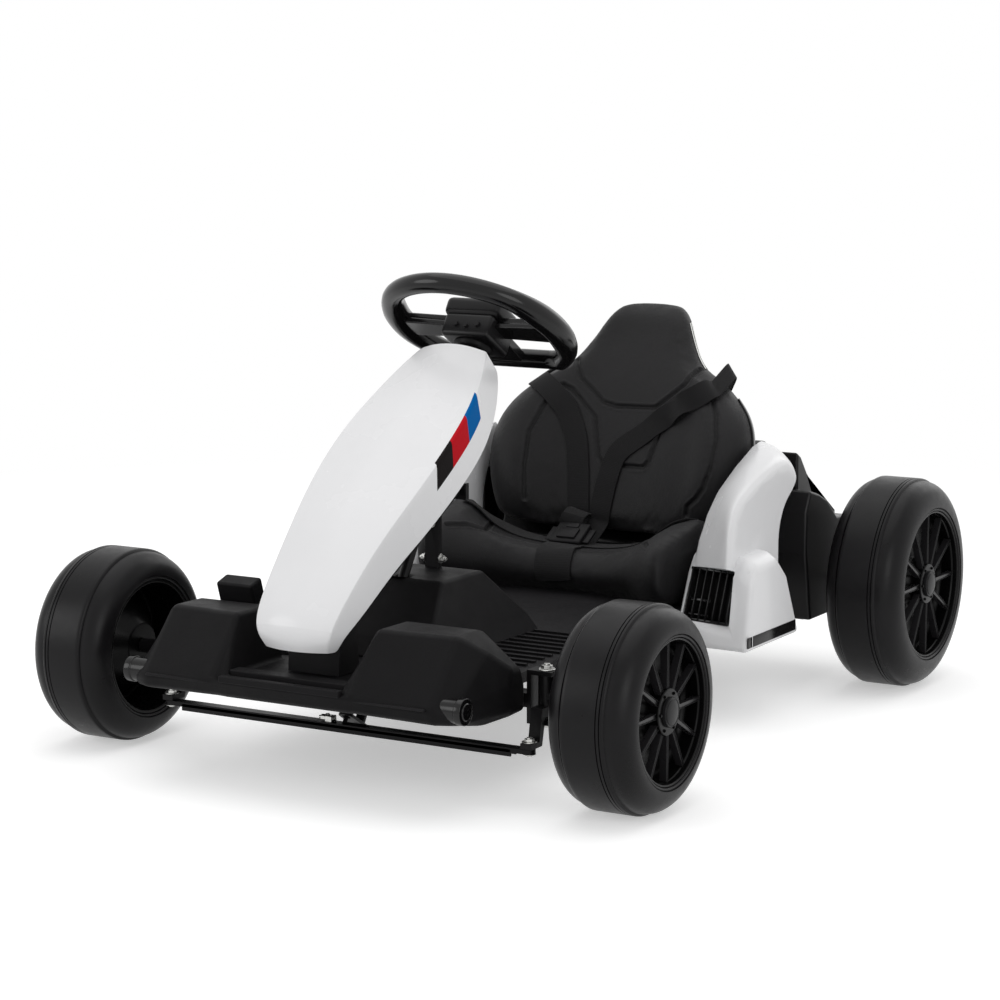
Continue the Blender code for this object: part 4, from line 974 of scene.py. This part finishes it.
# The seat back's sections up to the headrest's top: height, station of the front at the
# middle, half width, how far the bolsters stand forward, and thickness
BACK = [
    (0.212, 0.668, 0.180, 0.030, 0.045), (0.250, 0.677, 0.200, 0.045, 0.050),
    (0.300, 0.690, 0.213, 0.055, 0.055), (0.350, 0.705, 0.219, 0.052, 0.055),
    (0.394, 0.721, 0.206, 0.038, 0.052), (0.424, 0.735, 0.177, 0.024, 0.049),
    (0.444, 0.746, 0.150, 0.014, 0.046), (0.461, 0.756, 0.113, 0.007, 0.043),
    (0.478, 0.767, 0.101, 0.004, 0.040), (0.502, 0.783, 0.085, 0.006, 0.040),
    (0.526, 0.797, 0.0715, 0.006, 0.036), (0.543, 0.809, 0.057, 0.003, 0.028),
    (0.551, 0.819, 0.040, 0.000, 0.018),
]
# The cushion's sections: distance from the middle, then (station, height) of the front foot,
# the nose of its roll, the top of it, the seat, the rear top and the rear foot
CUSHION = [
    (0.000, (0.522, 0.150), (0.513, 0.180), (0.530, 0.203), (0.580, 0.196), (0.632, 0.204),
     (0.632, 0.150)),
    (0.100, (0.508, 0.150), (0.498, 0.188), (0.516, 0.214), (0.575, 0.205), (0.628, 0.212),
     (0.628, 0.150)),
    (0.155, (0.478, 0.150), (0.464, 0.202), (0.482, 0.238), (0.555, 0.240), (0.616, 0.238),
     (0.616, 0.150)),
    (0.190, (0.452, 0.150), (0.436, 0.212), (0.455, 0.254), (0.535, 0.272), (0.616, 0.292),
     (0.606, 0.150)),
    (0.211, (0.462, 0.155), (0.450, 0.208), (0.466, 0.238), (0.530, 0.256), (0.610, 0.280),
     (0.598, 0.155)),
]
# Sewn channels: on the back and headrest as (X, height), on the cushion as (X, station)
BACK_SEAMS = (
    ((-0.126, 0.262), (-0.131, 0.310), (-0.133, 0.360), (-0.121, 0.398), (-0.110, 0.422),
     (-0.101, 0.428), (-0.086, 0.421), (-0.041, 0.382), (-0.026, 0.326), (-0.017, 0.316),
     (0.052, 0.316), (0.060, 0.326), (0.075, 0.382), (0.124, 0.421), (0.140, 0.426),
     (0.153, 0.418), (0.166, 0.399), (0.177, 0.366), (0.177, 0.327), (0.170, 0.299),
     (0.160, 0.283), (0.147, 0.271), (0.145, 0.258)),
    ((-0.094, 0.463), (-0.076, 0.437), (-0.034, 0.405), (-0.010, 0.400), (0.056, 0.402),
     (0.100, 0.438), (0.113, 0.467)),
)
CUSHION_SEAMS = (
    ((-0.166, 0.486), (-0.146, 0.512), (-0.125, 0.530), (-0.070, 0.546), (0.000, 0.558),
     (0.070, 0.556), (0.118, 0.536), (0.142, 0.514), (0.160, 0.486)),
    ((-0.125, 0.530), (-0.134, 0.560), (-0.138, 0.606)),
    ((0.118, 0.536), (0.130, 0.562), (0.134, 0.606)),
)


def pad_rings():
    """Rings round the back: hollow front between two bolsters, plain rear."""
    rings = []
    for z, y, half, bolster, thick in BACK:
        front = [
            (0.0, y), (half * 0.42, y - bolster * 0.12), (half * 0.66, y - bolster * 0.85),
            (half * 0.84, y - bolster), (half * 0.98, y - bolster * 0.4),
            (half, y + thick * 0.35), (half * 0.92, y + thick * 0.9), (half * 0.5, y + thick),
        ]
        ring = front + [(0.0, y + thick)] + [(-x, a) for x, a in reversed(front[1:])]
        rings.append([(x, a + AXLE, z) for x, a in ring])
    return rings


def cushion_rings():
    rings = [[(-x, y + AXLE, z) for y, z in outline] for x, *outline in reversed(CUSHION[1:])]
    return rings + [[(x, y + AXLE, z) for y, z in outline] for x, *outline in CUSHION]


def remeshed(mesh, voxel):
    """The form as an even skin of small faces, a little inside the solid."""
    holder = linked("form", mesh)
    subdivided(holder, 2)
    even = holder.modifiers.new("even", "REMESH")
    even.mode = "VOXEL"
    even.voxel_size = voxel
    ease = holder.modifiers.new("ease", "SMOOTH")
    ease.factor = 0.5
    ease.iterations = 4
    return evaluated(holder)


def inflated(mesh, swell):
    """The skin filled with stuffing by a cloth run, no point moved further than swell."""
    holder = linked("skin", mesh)
    cloth = holder.modifiers.new("stuffing", "CLOTH")
    cloth.settings.quality = 5
    cloth.settings.mass = 0.3
    cloth.settings.use_pressure = True
    cloth.settings.uniform_pressure_force = 4.0
    cloth.settings.effector_weights.gravity = 0.0
    cloth.collision_settings.use_self_collision = False
    for number in range(1, 21):
        bpy.context.scene.frame_set(number)
    stuffed = evaluated(holder)
    for vert, old in zip(stuffed.vertices, mesh.vertices):
        step = vert.co - old.co
        if step.length > swell:
            vert.co = old.co + step * (swell / step.length)
    bpy.context.scene.frame_set(1)
    return stuffed


def seam_points(skin, paths, flat):
    """Points each 2 mm along the paths, dropped on the skin; flat paths from above."""
    tree = BVHTree.FromBMesh(skin)
    found = []
    for path in paths:
        for start, end in zip(path, path[1:]):
            start, end = Vector(start), Vector(end)
            count = max(1, round((end - start).length / 0.002))
            for i in range(count + 1):
                a, b = start.lerp(end, i / count)
                if flat:
                    hit = tree.ray_cast(Vector((a, b + AXLE, 0.6)), Vector((0, 0, -1)))
                else:
                    hit = tree.ray_cast(Vector((a, -1.0, b)), Vector((0, 1, 0)))
                if hit[0]:
                    found.append(hit[0])
    return found


def sewn(bm, paths, flat, sizes):
    """Presses the sewn channels into the skin and marks them for the finish's painted shade."""
    layer = bm.verts.layers.float.new("seam")
    points = seam_points(bm, paths, flat)
    near = KDTree(len(points))
    for i, point in enumerate(points):
        near.insert(point, i)
    near.balance()
    bm.normal_update()
    moves = []
    for vert in bm.verts:
        away = near.find(vert.co)[2] / sizes.seam_width
        if away < 1.6:
            dip = math.exp(-((away * 1.5) ** 2))
            # Painted shade: this mark darkens the vinyl's colour in the channels
            vert[layer] = dip**2
            swell = 0.35 * math.exp(-(((away - 1.15) * 4) ** 2))
            moves.append((vert, vert.normal * sizes.seam_depth * (swell - dip)))
    for vert, step in moves:
        vert.co += step


SEAT_PIECES = (
    ("padded_cushion", ("seat_cushion",), cushion_rings, CUSHION_SEAMS, True),
    ("padded_back", ("seat_back", "headrest"), pad_rings, BACK_SEAMS, False),
)


class KART_OT_seat(bpy.types.Operator):
    """Cushion, back and headrest: stuffed by a cloth run, then sewn"""

    bl_idname = "kart.seat"
    bl_label = "Seat"

    def execute(self, context):
        sizes = context.scene.kart_seat
        for name, nodes, rings, seams, flat in SEAT_PIECES:
            bm, _ = lofted(rings())
            skin = remeshed(as_mesh(bm, name), sizes.voxel)
            skin = inflated(skin, sizes.swell)
            bm = as_bmesh(finished_mesh(as_bmesh(skin), levels=1))
            sewn(bm, seams, flat, sizes)
            pad = piece(name, bm, "seat_vinyl", *nodes, smooth=80)
        return {"FINISHED"}


# The harness: width, then the points that each strap passes; and its lift off the pads
STRAPS = {
    "shoulder_strap_left": (0.034, (0.160, 0.766, 0.463), (0.151, 0.722, 0.436),
                            (0.100, 0.700, 0.404), (0.050, 0.700, 0.368),
                            (0.004, 0.695, 0.335), (-0.006, 0.690, 0.290),
                            (-0.012, 0.676, 0.245), (-0.014, 0.630, 0.212)),
    "shoulder_strap_right": (0.034, (-0.160, 0.776, 0.438), (-0.149, 0.724, 0.432),
                             (-0.088, 0.710, 0.391), (-0.064, 0.700, 0.345),
                             (-0.054, 0.690, 0.290), (-0.048, 0.676, 0.245),
                             (-0.040, 0.630, 0.212)),
    "lap_strap_right": (0.034, (-0.184, 0.575, 0.268), (-0.150, 0.572, 0.242),
                        (-0.105, 0.580, 0.210), (-0.050, 0.594, 0.204)),
    "lap_strap_left": (0.034, (0.188, 0.575, 0.270), (0.150, 0.572, 0.242),
                       (0.105, 0.580, 0.210), (0.002, 0.598, 0.204)),
    "crotch_strap": (0.058, (-0.022, 0.584, 0.210), (-0.016, 0.545, 0.205),
                     (-0.010, 0.520, 0.215), (-0.008, 0.500, 0.185), (-0.006, 0.505, 0.158)),
}
STRAP_LIFT = 0.0012


def surface_of(*names):
    """A search tree of finished pads' skins."""
    skin = as_bmesh(*(bpy.data.objects[name].data for name in names))
    surface = BVHTree.FromBMesh(skin)
    skin.free()
    return surface


def smoothed(values, rounds):
    """A run of numbers or vectors eased between its fixed ends."""
    for _ in range(rounds):
        inner = zip(values, values[1:], values[2:])
        values = [values[0]] + [(a + b * 2 + c) / 4 for a, b, c in inner] + [values[-1]]
    return values


def drape(surface, points, width, pitch):
    """Rows for a strap that lies flat across and bridges the hollows of the pads.

    Each row is its middle, the way across and the way up.
    """
    run = [Vector(points[0])]
    for start, end in zip(points, points[1:]):
        count = max(1, round((Vector(end) - Vector(start)).length / pitch))
        run += [Vector(start).lerp(Vector(end), (i + 1) / count) for i in range(count)]
    found = [surface.find_nearest(p + Vector((0, AXLE, 0))) for p in run]
    run = smoothed([hit[0] for hit in found], 8)
    ups = [up.normalized() for up in smoothed([hit[1] for hit in found], 10)]
    rows, heights = [], []
    for i, (here, up) in enumerate(zip(run, ups)):
        ahead = run[min(i + 1, len(run) - 1)] - run[max(i - 1, 0)]
        across = ahead.cross(up).normalized() * width / 2
        tops = []
        for k in range(-4, 5):
            spot = here + across * k / 4
            hit = surface.ray_cast(spot + up * 0.06, -up)[0]
            if hit:
                tops.append((hit - here).dot(up))
        heights.append(max(tops, default=0.0))
        rows.append((here, across, up))
    count = len(heights)
    heights = [max(heights[max(i - 2, 0):min(i + 3, count)]) for i in range(count)]
    heights = smoothed(heights, 6)
    return [(here + up * rise, across, up) for (here, across, up), rise in zip(rows, heights)]


# The shell strips beside the back: where they start, their height, and where their points
# lie in the back's thickness
SHELL_FOOT = 0.236
SHELL_HEIGHT = 0.196
SHELL_DEPTHS = (0.30, 0.45, 0.62, 0.80)
# The bright trim's ends beside the headrest (X, station, height)
TRIM_TOP = Vector((0.080, 0.806, 0.528))
TRIM_FOOT = Vector((0.112, 0.772, 0.458))


class KART_OT_seat_trim(bpy.types.Operator):
    """Gloss shell strips down the seat's sides and bright trim beside the headrest"""

    bl_idname = "kart.seat_trim"
    bl_label = "Seat trim"

    def execute(self, context):
        surface = surface_of("padded_back")
        for name, sign in SIDES:
            bm = bmesh.new()
            lines = []
            for i in range(19):
                z = SHELL_FOOT + SHELL_HEIGHT * i / 18
                near = [row for row in BACK if row[0] <= z][-1]
                after = [row for row in BACK if row[0] > z][0]
                t = (z - near[0]) / (after[0] - near[0])
                y, half, thick = (near[k] + (after[k] - near[k]) * t for k in (1, 2, 4))
                line = []
                for share in SHELL_DEPTHS:
                    spot = Vector((sign * (half + 0.02), y + thick * share + AXLE, z))
                    hit, up = surface.find_nearest(spot)[:2]
                    line.append(bm.verts.new(hit + up * 0.0012))
                lines.append(line)
            bridged(bm, lines)
            strip = piece(f"seat_shell_{name}", bm, "gloss_black", smooth=60)
            subdivided(strip, 1)
            walled(strip, 0.0026)
            for number, back in enumerate((-0.003, 0.005)):
                path = []
                for k in range(13):
                    spot = TRIM_TOP.lerp(TRIM_FOOT, k / 12) + Vector((0.0, back + AXLE, 0.0))
                    hit, up = surface.find_nearest(Vector((sign * spot.x, spot.y, spot.z)))[:2]
                    path.append(hit + up * 0.0004)
                bar = tube(smoothed(path, 3), 0.0009, sides=3)
                piece(f"headrest_trim_{name}_{number + 1}", bar, "plated_zinc", smooth=60)
        return {"FINISHED"}


class KART_OT_harness(bpy.types.Operator):
    """Flat woven straps over the pads and a push-button buckle"""

    bl_idname = "kart.harness"
    bl_label = "Harness"

    def execute(self, context):
        surface = surface_of(*(name for name, *_ in SEAT_PIECES))
        for name, (width, *points) in STRAPS.items():
            self.strap(name, surface, width, points)
        self.buckle()
        return {"FINISHED"}

    def strap(self, name, surface, width, points):
        hung = name.startswith("shoulder")
        rows = drape(surface, points[1:] if hung else points, width, 0.006)
        if hung:
            here, across, up = rows[0]
            corner = Vector(points[0]) + Vector((0, AXLE, 0))
            foot = corner + Vector((-0.24 * corner.x, 0.030, -0.052))  # behind the back
            bend = [foot.lerp(corner, i / 9) for i in range(9)]
            bend += [corner.lerp(here, i / 9) for i in range(10)]
            bend = smoothed(bend, 6)[:-1]
            free = []
            for i, spot in enumerate(bend):
                share = min(1.0, i / 12)
                way = bend[min(i + 1, len(bend) - 1)] - bend[max(i - 1, 0)]
                free.append((spot, across, across.cross(way).normalized().lerp(up, share)))
            rows = free + rows
        bm = bmesh.new()
        weave = bm.loops.layers.uv.new("weave")
        travel, marks, lines = 0.0, {}, []
        for i, (here, across, up) in enumerate(rows):
            travel += (here - rows[max(i - 1, 0)][0]).length
            line = [bm.verts.new(here + across * (k / 3 - 1) + up * STRAP_LIFT) for k in range(7)]
            marks.update({vert: (k / 6 * width, travel) for k, vert in enumerate(line)})
            lines.append(line)
        bridged(bm, lines)
        for face in bm.faces:
            for loop in face.loops:
                loop[weave].uv = marks[loop.vert]
        strap = piece(f"woven_{name}", bm, "woven_strap", name, smooth=60)
        subdivided(strap, 1)
        walled(strap, 0.0019)
        soft_edges(strap, 0.0005, 2, 60)

    def buckle(self):
        tilt = Matrix.Rotation(math.radians(30), 3, "X")
        centre = Vector((-0.024, 0.600 + AXLE, 0.2213))
        bm = bmesh.new()
        for size, place, bevel in (
            ((0.052, 0.044, 0.012), (0, 0, 0), 0.0030),
            ((0.030, 0.022, 0.004), (0, -0.004, 0.0070), 0.0012),
            ((0.020, 0.010, 0.003), (0.0, 0.014, 0.0065), 0.0010),
            ((0.012, 0.030, 0.004), (0.030, 0.0, -0.001), 0.0010),
            ((0.012, 0.030, 0.004), (-0.030, 0.0, -0.001), 0.0010),
        ):
            block(bm, size, centre + tilt @ Vector(place), bevel=bevel, turn=tilt)
        piece("push_buckle", bm, "moulded_black", "harness_buckle")


# Steering wheel: its centre, the column's lean, and its own coordinates with -Y forwards
HUB = Vector((0.0, 0.2969 + AXLE, 0.553))
LEAN = math.radians(32.0)
GRIP_RADIUS = 0.124
GRIP_TUBE = 0.0130
GRIP_FLAT = 0.092


def on_column(bm):
    bm.transform(Matrix.Translation(HUB) @ Matrix.Rotation(-LEAN, 4, "X"))


class KART_OT_steering_wheel(bpy.types.Operator):
    """Glossy grip with a flat lower side, three channelled spokes and a boxed hub"""

    bl_idname = "kart.steering_wheel"
    bl_label = "Steering wheel"

    def execute(self, context):
        flat = math.asin(GRIP_FLAT / GRIP_RADIUS)
        sweep = math.pi + 2 * flat
        path, swells = [], []
        for i in range(97):
            angle = flat - sweep * i / 96
            side = math.exp(-((math.sin(angle + 0.10 * math.cos(angle)) / 0.52) ** 4))
            reach = GRIP_RADIUS - 0.0045 * side
            path.append((reach * math.cos(angle), reach * math.sin(angle), 0.0))
            swells.append(1.06 + 0.30 * side)
        edge = GRIP_RADIUS * math.cos(flat)
        path += [(-edge + 2 * edge * i / 9, GRIP_FLAT, 0.0) for i in range(1, 9)]
        swells += [1.0] * 8
        swells = smoothed(swells, 3)
        grip = tube(path, GRIP_TUBE, closed=True, sides=7, swells=swells)
        on_column(grip)
        piece("glossy_grip", grip, "gloss_black", "steering_wheel_rim", body="steering",
              smooth=70)
        spokes = bmesh.new()
        reach = GRIP_RADIUS - 0.006
        for sign in (1.0, -1.0):
            for low, wide in ((-0.008, 0.034), (0.0015, 0.026)):
                made = bmesh.ops.create_cube(spokes, size=1.0)["verts"]
                bmesh.ops.scale(spokes, vec=(reach - 0.034, wide, 0.0085), verts=made)
                outer = [v for v in made if v.co.x * sign > 0]
                bmesh.ops.scale(spokes, vec=(1, 1.25, 1), verts=outer)
                bmesh.ops.translate(
                    spokes, vec=(sign * (reach + 0.034) / 2, -0.002, low + 0.002), verts=made
                )
        block(spokes, (0.060, GRIP_FLAT - 0.028, 0.014), (0.0, (GRIP_FLAT + 0.030) / 2, -0.002))
        on_column(spokes)
        arms = piece("channelled_spokes", spokes, "gloss_black", body="steering", smooth=28)
        soft_edges(arms, 0.0024)
        hub = bmesh.new()
        block(hub, (0.074, 0.066, 0.034), (0, 0, -0.013), bevel=0.0060)
        block(hub, (0.084, 0.062, 0.027), (0, -0.003, 0.0150), bevel=0.0085)
        block(hub, (0.054, 0.036, 0.005), (0, -0.004, 0.0285), bevel=0.0018)
        face = Matrix.Rotation(math.pi / 2, 3, "X")
        for x, z, radius in (
            (-0.015, -0.014, 0.0042), (0.001, -0.016, 0.0036), (0.018, -0.013, 0.0046),
        ):
            cone(hub, 24, radius, radius * 0.80, 0.005, (x, -0.0345, z), face)
        for x in (-0.026, 0.026):
            cone(hub, 28, 0.007, 0.0062, 0.005, (x, 0.014, 0.0290))
        on_column(hub)
        piece("boxed_hub", hub, "satin_black", "steering_hub", body="steering", smooth=30)
        boot = spun(filleted([
            (0.0072, -0.0300), (0.0270, -0.0300, 0.002), (0.0250, -0.0380, 0.003),
            (0.0205, -0.0400, 0.002), (0.0195, -0.0480, 0.002), (0.0160, -0.0500, 0.002),
            (0.0150, -0.0580, 0.002), (0.0072, -0.0600),
        ]), 48)
        on_column(boot)
        piece("column_boot", boot, "moulded_black", body="steering", smooth=45)
        return {"FINISHED"}


# Bolts that show: centre (X, station, height), direction, head radius and height
BOLTS = (
    ((0.0110, 0.1760, 0.2535), (1, 0, 0), 0.0046, 0.0080),
    ((-0.0110, 0.1760, 0.2535), (-1, 0, 0), 0.0046, 0.0080),
    ((0.0, 0.1720, 0.300), (0, -1, 0), 0.0038, 0.0035),
    ((0.0, -0.1122, 0.190), (0, -1, 0), 0.0045, 0.0035),
)
KINGPIN_X = 0.272
ROD_Y = AXLE - 0.044


class KART_OT_fasteners(bpy.types.Operator):
    """Plated nuts, washers and bolts on the kingpins, tie rod, post and bracket"""

    bl_idname = "kart.fasteners"
    bl_label = "Fasteners"

    def execute(self, context):
        for name, sign in SIDES:
            x = sign * KINGPIN_X
            pin = bmesh.new()
            cone(pin, 32, 0.005, 0.005, 0.0676, (x, AXLE, 0.130))
            hex_bolt(pin, (x, AXLE, 0.1643), (0, 0, 1), 0.0076, 0.0068)
            hex_bolt(pin, (x, AXLE, 0.0957), (0, 0, -1), 0.0080, 0.0038)
            nut = piece(f"kingpin_nut_{name}", pin, "plated_zinc", f"kingpin_{name}", smooth=30)
            soft_edges(nut, 0.0005, 2, 50)
            end = bmesh.new()
            cone(end, 24, 0.003, 0.003, 0.0158, (x, ROD_Y, 0.0739))
            hex_bolt(end, (x, ROD_Y, 0.0815), (0, 0, 1), 0.0068, 0.0052)
            hex_bolt(end, (x, ROD_Y, 0.0667), (0, 0, -1), 0.0060, 0.0030)
            bolt = piece(f"tie_rod_nut_{name}", end, "plated_zinc", f"tie_rod_bolt_{name}",
                         body="tie_rod", smooth=30)
            soft_edges(bolt, 0.0004, 2, 50)
        self.sleeves()
        self.channel()
        fixed = bmesh.new()
        for (x, y, z), direction, radius, height in BOLTS:
            hex_bolt(fixed, (x, y + AXLE, z), direction, radius, height)
        soft_edges(piece("frame_bolts", fixed, "plated_zinc", smooth=30), 0.0003, 2, 50)
        return {"FINISHED"}

    def sleeves(self):
        """Threaded plated feet of the two stays that carry the nose."""
        bm = bmesh.new()
        way = Vector((0.0, 0.2716, 0.140)).normalized()
        turn = way.to_track_quat("Z", "Y").to_matrix()
        for _, sign in SIDES:
            foot = Vector((sign * 0.034, -0.090 + AXLE, 0.205))
            for i in range(15):
                cone(bm, 20, 0.0052, 0.0044, 0.0020, foot + way * (0.016 + 0.0019 * i), turn)
        piece("stay_sleeves", bm, "plated_zinc", smooth=30)

    def channel(self):
        """Flanges under the tie rod, which make it a channel section, and its cross bolt."""
        bm = bmesh.new()
        for y in (-0.0066, 0.0066):
            block(bm, (0.500, 0.0028, 0.0100), (0.0, ROD_Y + y, 0.0668), bevel=0.0008)
        piece("tie_rod_flanges", bm, "painted_steel", body="tie_rod", smooth=30)
        bolt = bmesh.new()
        hex_bolt(bolt, (-0.024, ROD_Y, 0.0775), (-1, 0, 0), 0.0042, 0.0110)
        block(bolt, (0.010, 0.013, 0.0085), (-0.020, ROD_Y, 0.0765), bevel=0.0008)
        piece("tie_rod_cross_bolt", bolt, "plated_zinc", body="tie_rod", smooth=30)


# Lamps: name, place, size and power in watts
LAMPS = (
    ("overhead", (0.0, 0.2, 3.4), 4.2, 50.0),
    ("front_left", (-3.0, -3.4, 1.8), 2.4, 49.0),
    ("front_right", (3.4, -2.2, 1.5), 2.2, 36.0),
    ("behind", (0.5, 3.6, 2.2), 2.6, 22.0),
)
FLOOR_GREY = (0.82, 0.82, 0.82)


class KART_OT_stage(bpy.types.Operator):
    """Camera at the photograph's angle, pale floor and soft lamps"""

    bl_idname = "kart.stage"
    bl_label = "Stage"

    def execute(self, context):
        scene = context.scene
        stage = scene.kart_stage
        scene.view_settings.view_transform = "Standard"
        el, az = stage.elevation, stage.azimuth
        back = Vector((math.sin(az) * math.cos(el), -math.cos(az) * math.cos(el), math.sin(el)))
        camera = linked("camera", bpy.data.cameras.new("camera"))
        camera.data.lens = stage.lens
        camera.data.sensor_width = 36.0
        camera.location = Vector(stage.aim) + back * stage.distance
        camera.rotation_euler = back.to_track_quat("Z", "Y").to_euler()
        scene.camera = camera
        for name, place, size, power in LAMPS:
            lamp = bpy.data.lights.new(name, "AREA")
            lamp.shape = "DISK"
            lamp.size = size
            lamp.energy = power * stage.power
            holder = linked(name, lamp)
            holder.location = place
            aim = Vector(place) - Vector((0.0, 0.0, 0.2))
            holder.rotation_euler = aim.to_track_quat("Z", "Y").to_euler()
        self.backdrop(scene, stage)
        return {"FINISHED"}

    def backdrop(self, scene, stage):
        """A white room and a pale floor that fades into it; only lens and gloss see the white."""
        world = bpy.data.worlds.new("studio")
        world.use_nodes = True
        tree = world.node_tree
        sky = tree.nodes["Background"]
        sky.inputs["Color"].default_value = (1.0, 1.0, 1.0, 1.0)
        tree.links.new(self.seen(tree, stage.fill, 1.0), sky.inputs["Strength"])
        scene.world = world
        bm = bmesh.new()
        bmesh.ops.create_grid(bm, x_segments=2, y_segments=2, size=40.0)
        mesh = as_mesh(bm, "floor")
        floor = linked("floor", mesh)
        floor.location.z = -0.0005
        tree, shader, place = base_finish("pale_floor", FLOOR_GREY, 0.9, specular=0.1)
        tint(tree, shader, FLOOR_GREY, noise(tree, place, 0.7, 2.0), 0.99, 1.0)
        glow = add(tree, "Emission", [("Strength", self.seen(tree, 0.0, 0.43))])
        both = add(tree, "AddShader", [(0, shader.outputs[0]), (1, glow.outputs[0])])
        away = add(tree, "VectorMath", [(0, place)], operation="LENGTH").outputs["Value"]
        far = add(tree, "Emission", [("Strength", self.seen(tree, 0.5, 1.0))])
        whole = add(tree, "MixShader", [
            (0, spread(tree, away, 0.0, 1.0, 1.1, 2.6)), (1, both.outputs[0]), (2, far.outputs[0]),
        ])
        tree.links.new(whole.outputs[0], tree.nodes["Material Output"].inputs["Surface"])
        mesh.materials.append(FINISHES["pale_floor"])

    @staticmethod
    def seen(tree, unseen, shown):
        """A strength for light, and another for camera, glossy and transmitted rays."""
        path = add(tree, "LightPath").outputs
        rays = path["Is Camera Ray"]
        for kind in ("Is Glossy Ray", "Is Transmission Ray"):
            rays = calc(tree, "MAXIMUM", rays, path[kind])
        return spread(tree, rays, unseen, shown, 0.0, 1.0)


class KART_PT_panel(bpy.types.Panel):
    """Lists the kart's pieces in the sidebar"""

    bl_idname = "KART_PT_panel"
    bl_label = "Electric drift kart"
    bl_space_type = "VIEW_3D"
    bl_region_type = "UI"
    bl_category = "Kart"

    def draw(self, context):
        for operator in OPERATORS:
            self.layout.operator(operator.bl_idname)
        for group in GROUPS:
            settings = getattr(context.scene, GROUPS[group])
            for name in group.__annotations__:
                self.layout.prop(settings, name)


GROUPS = {
    KartColours: "kart_colours",
    KartWheels: "kart_wheels",
    KartSeat: "kart_seat",
    KartStage: "kart_stage",
}
OPERATORS = (
    KART_OT_finishes,
    KART_OT_tyres,
    KART_OT_rims,
    KART_OT_hub_caps,
    KART_OT_nose,
    KART_OT_tub,
    KART_OT_rounded,
    KART_OT_pods,
    KART_OT_vents,
    KART_OT_seat,
    KART_OT_seat_trim,
    KART_OT_harness,
    KART_OT_steering_wheel,
    KART_OT_fasteners,
    KART_OT_stage,
)


def register():
    for group, name in GROUPS.items():
        bpy.utils.register_class(group)
        setattr(bpy.types.Scene, name, bpy.props.PointerProperty(type=group))
    for cls in (*OPERATORS, KART_PT_panel):
        bpy.utils.register_class(cls)


def unregister():
    for cls in (KART_PT_panel, *reversed(OPERATORS)):
        bpy.utils.unregister_class(cls)
    for group, name in GROUPS.items():
        delattr(bpy.types.Scene, name)
        bpy.utils.unregister_class(group)


def main():
    register()
    for operator in OPERATORS:
        family, name = operator.bl_idname.split(".")
        getattr(getattr(bpy.ops, family), name)()


if __name__ == "__main__":
    main()
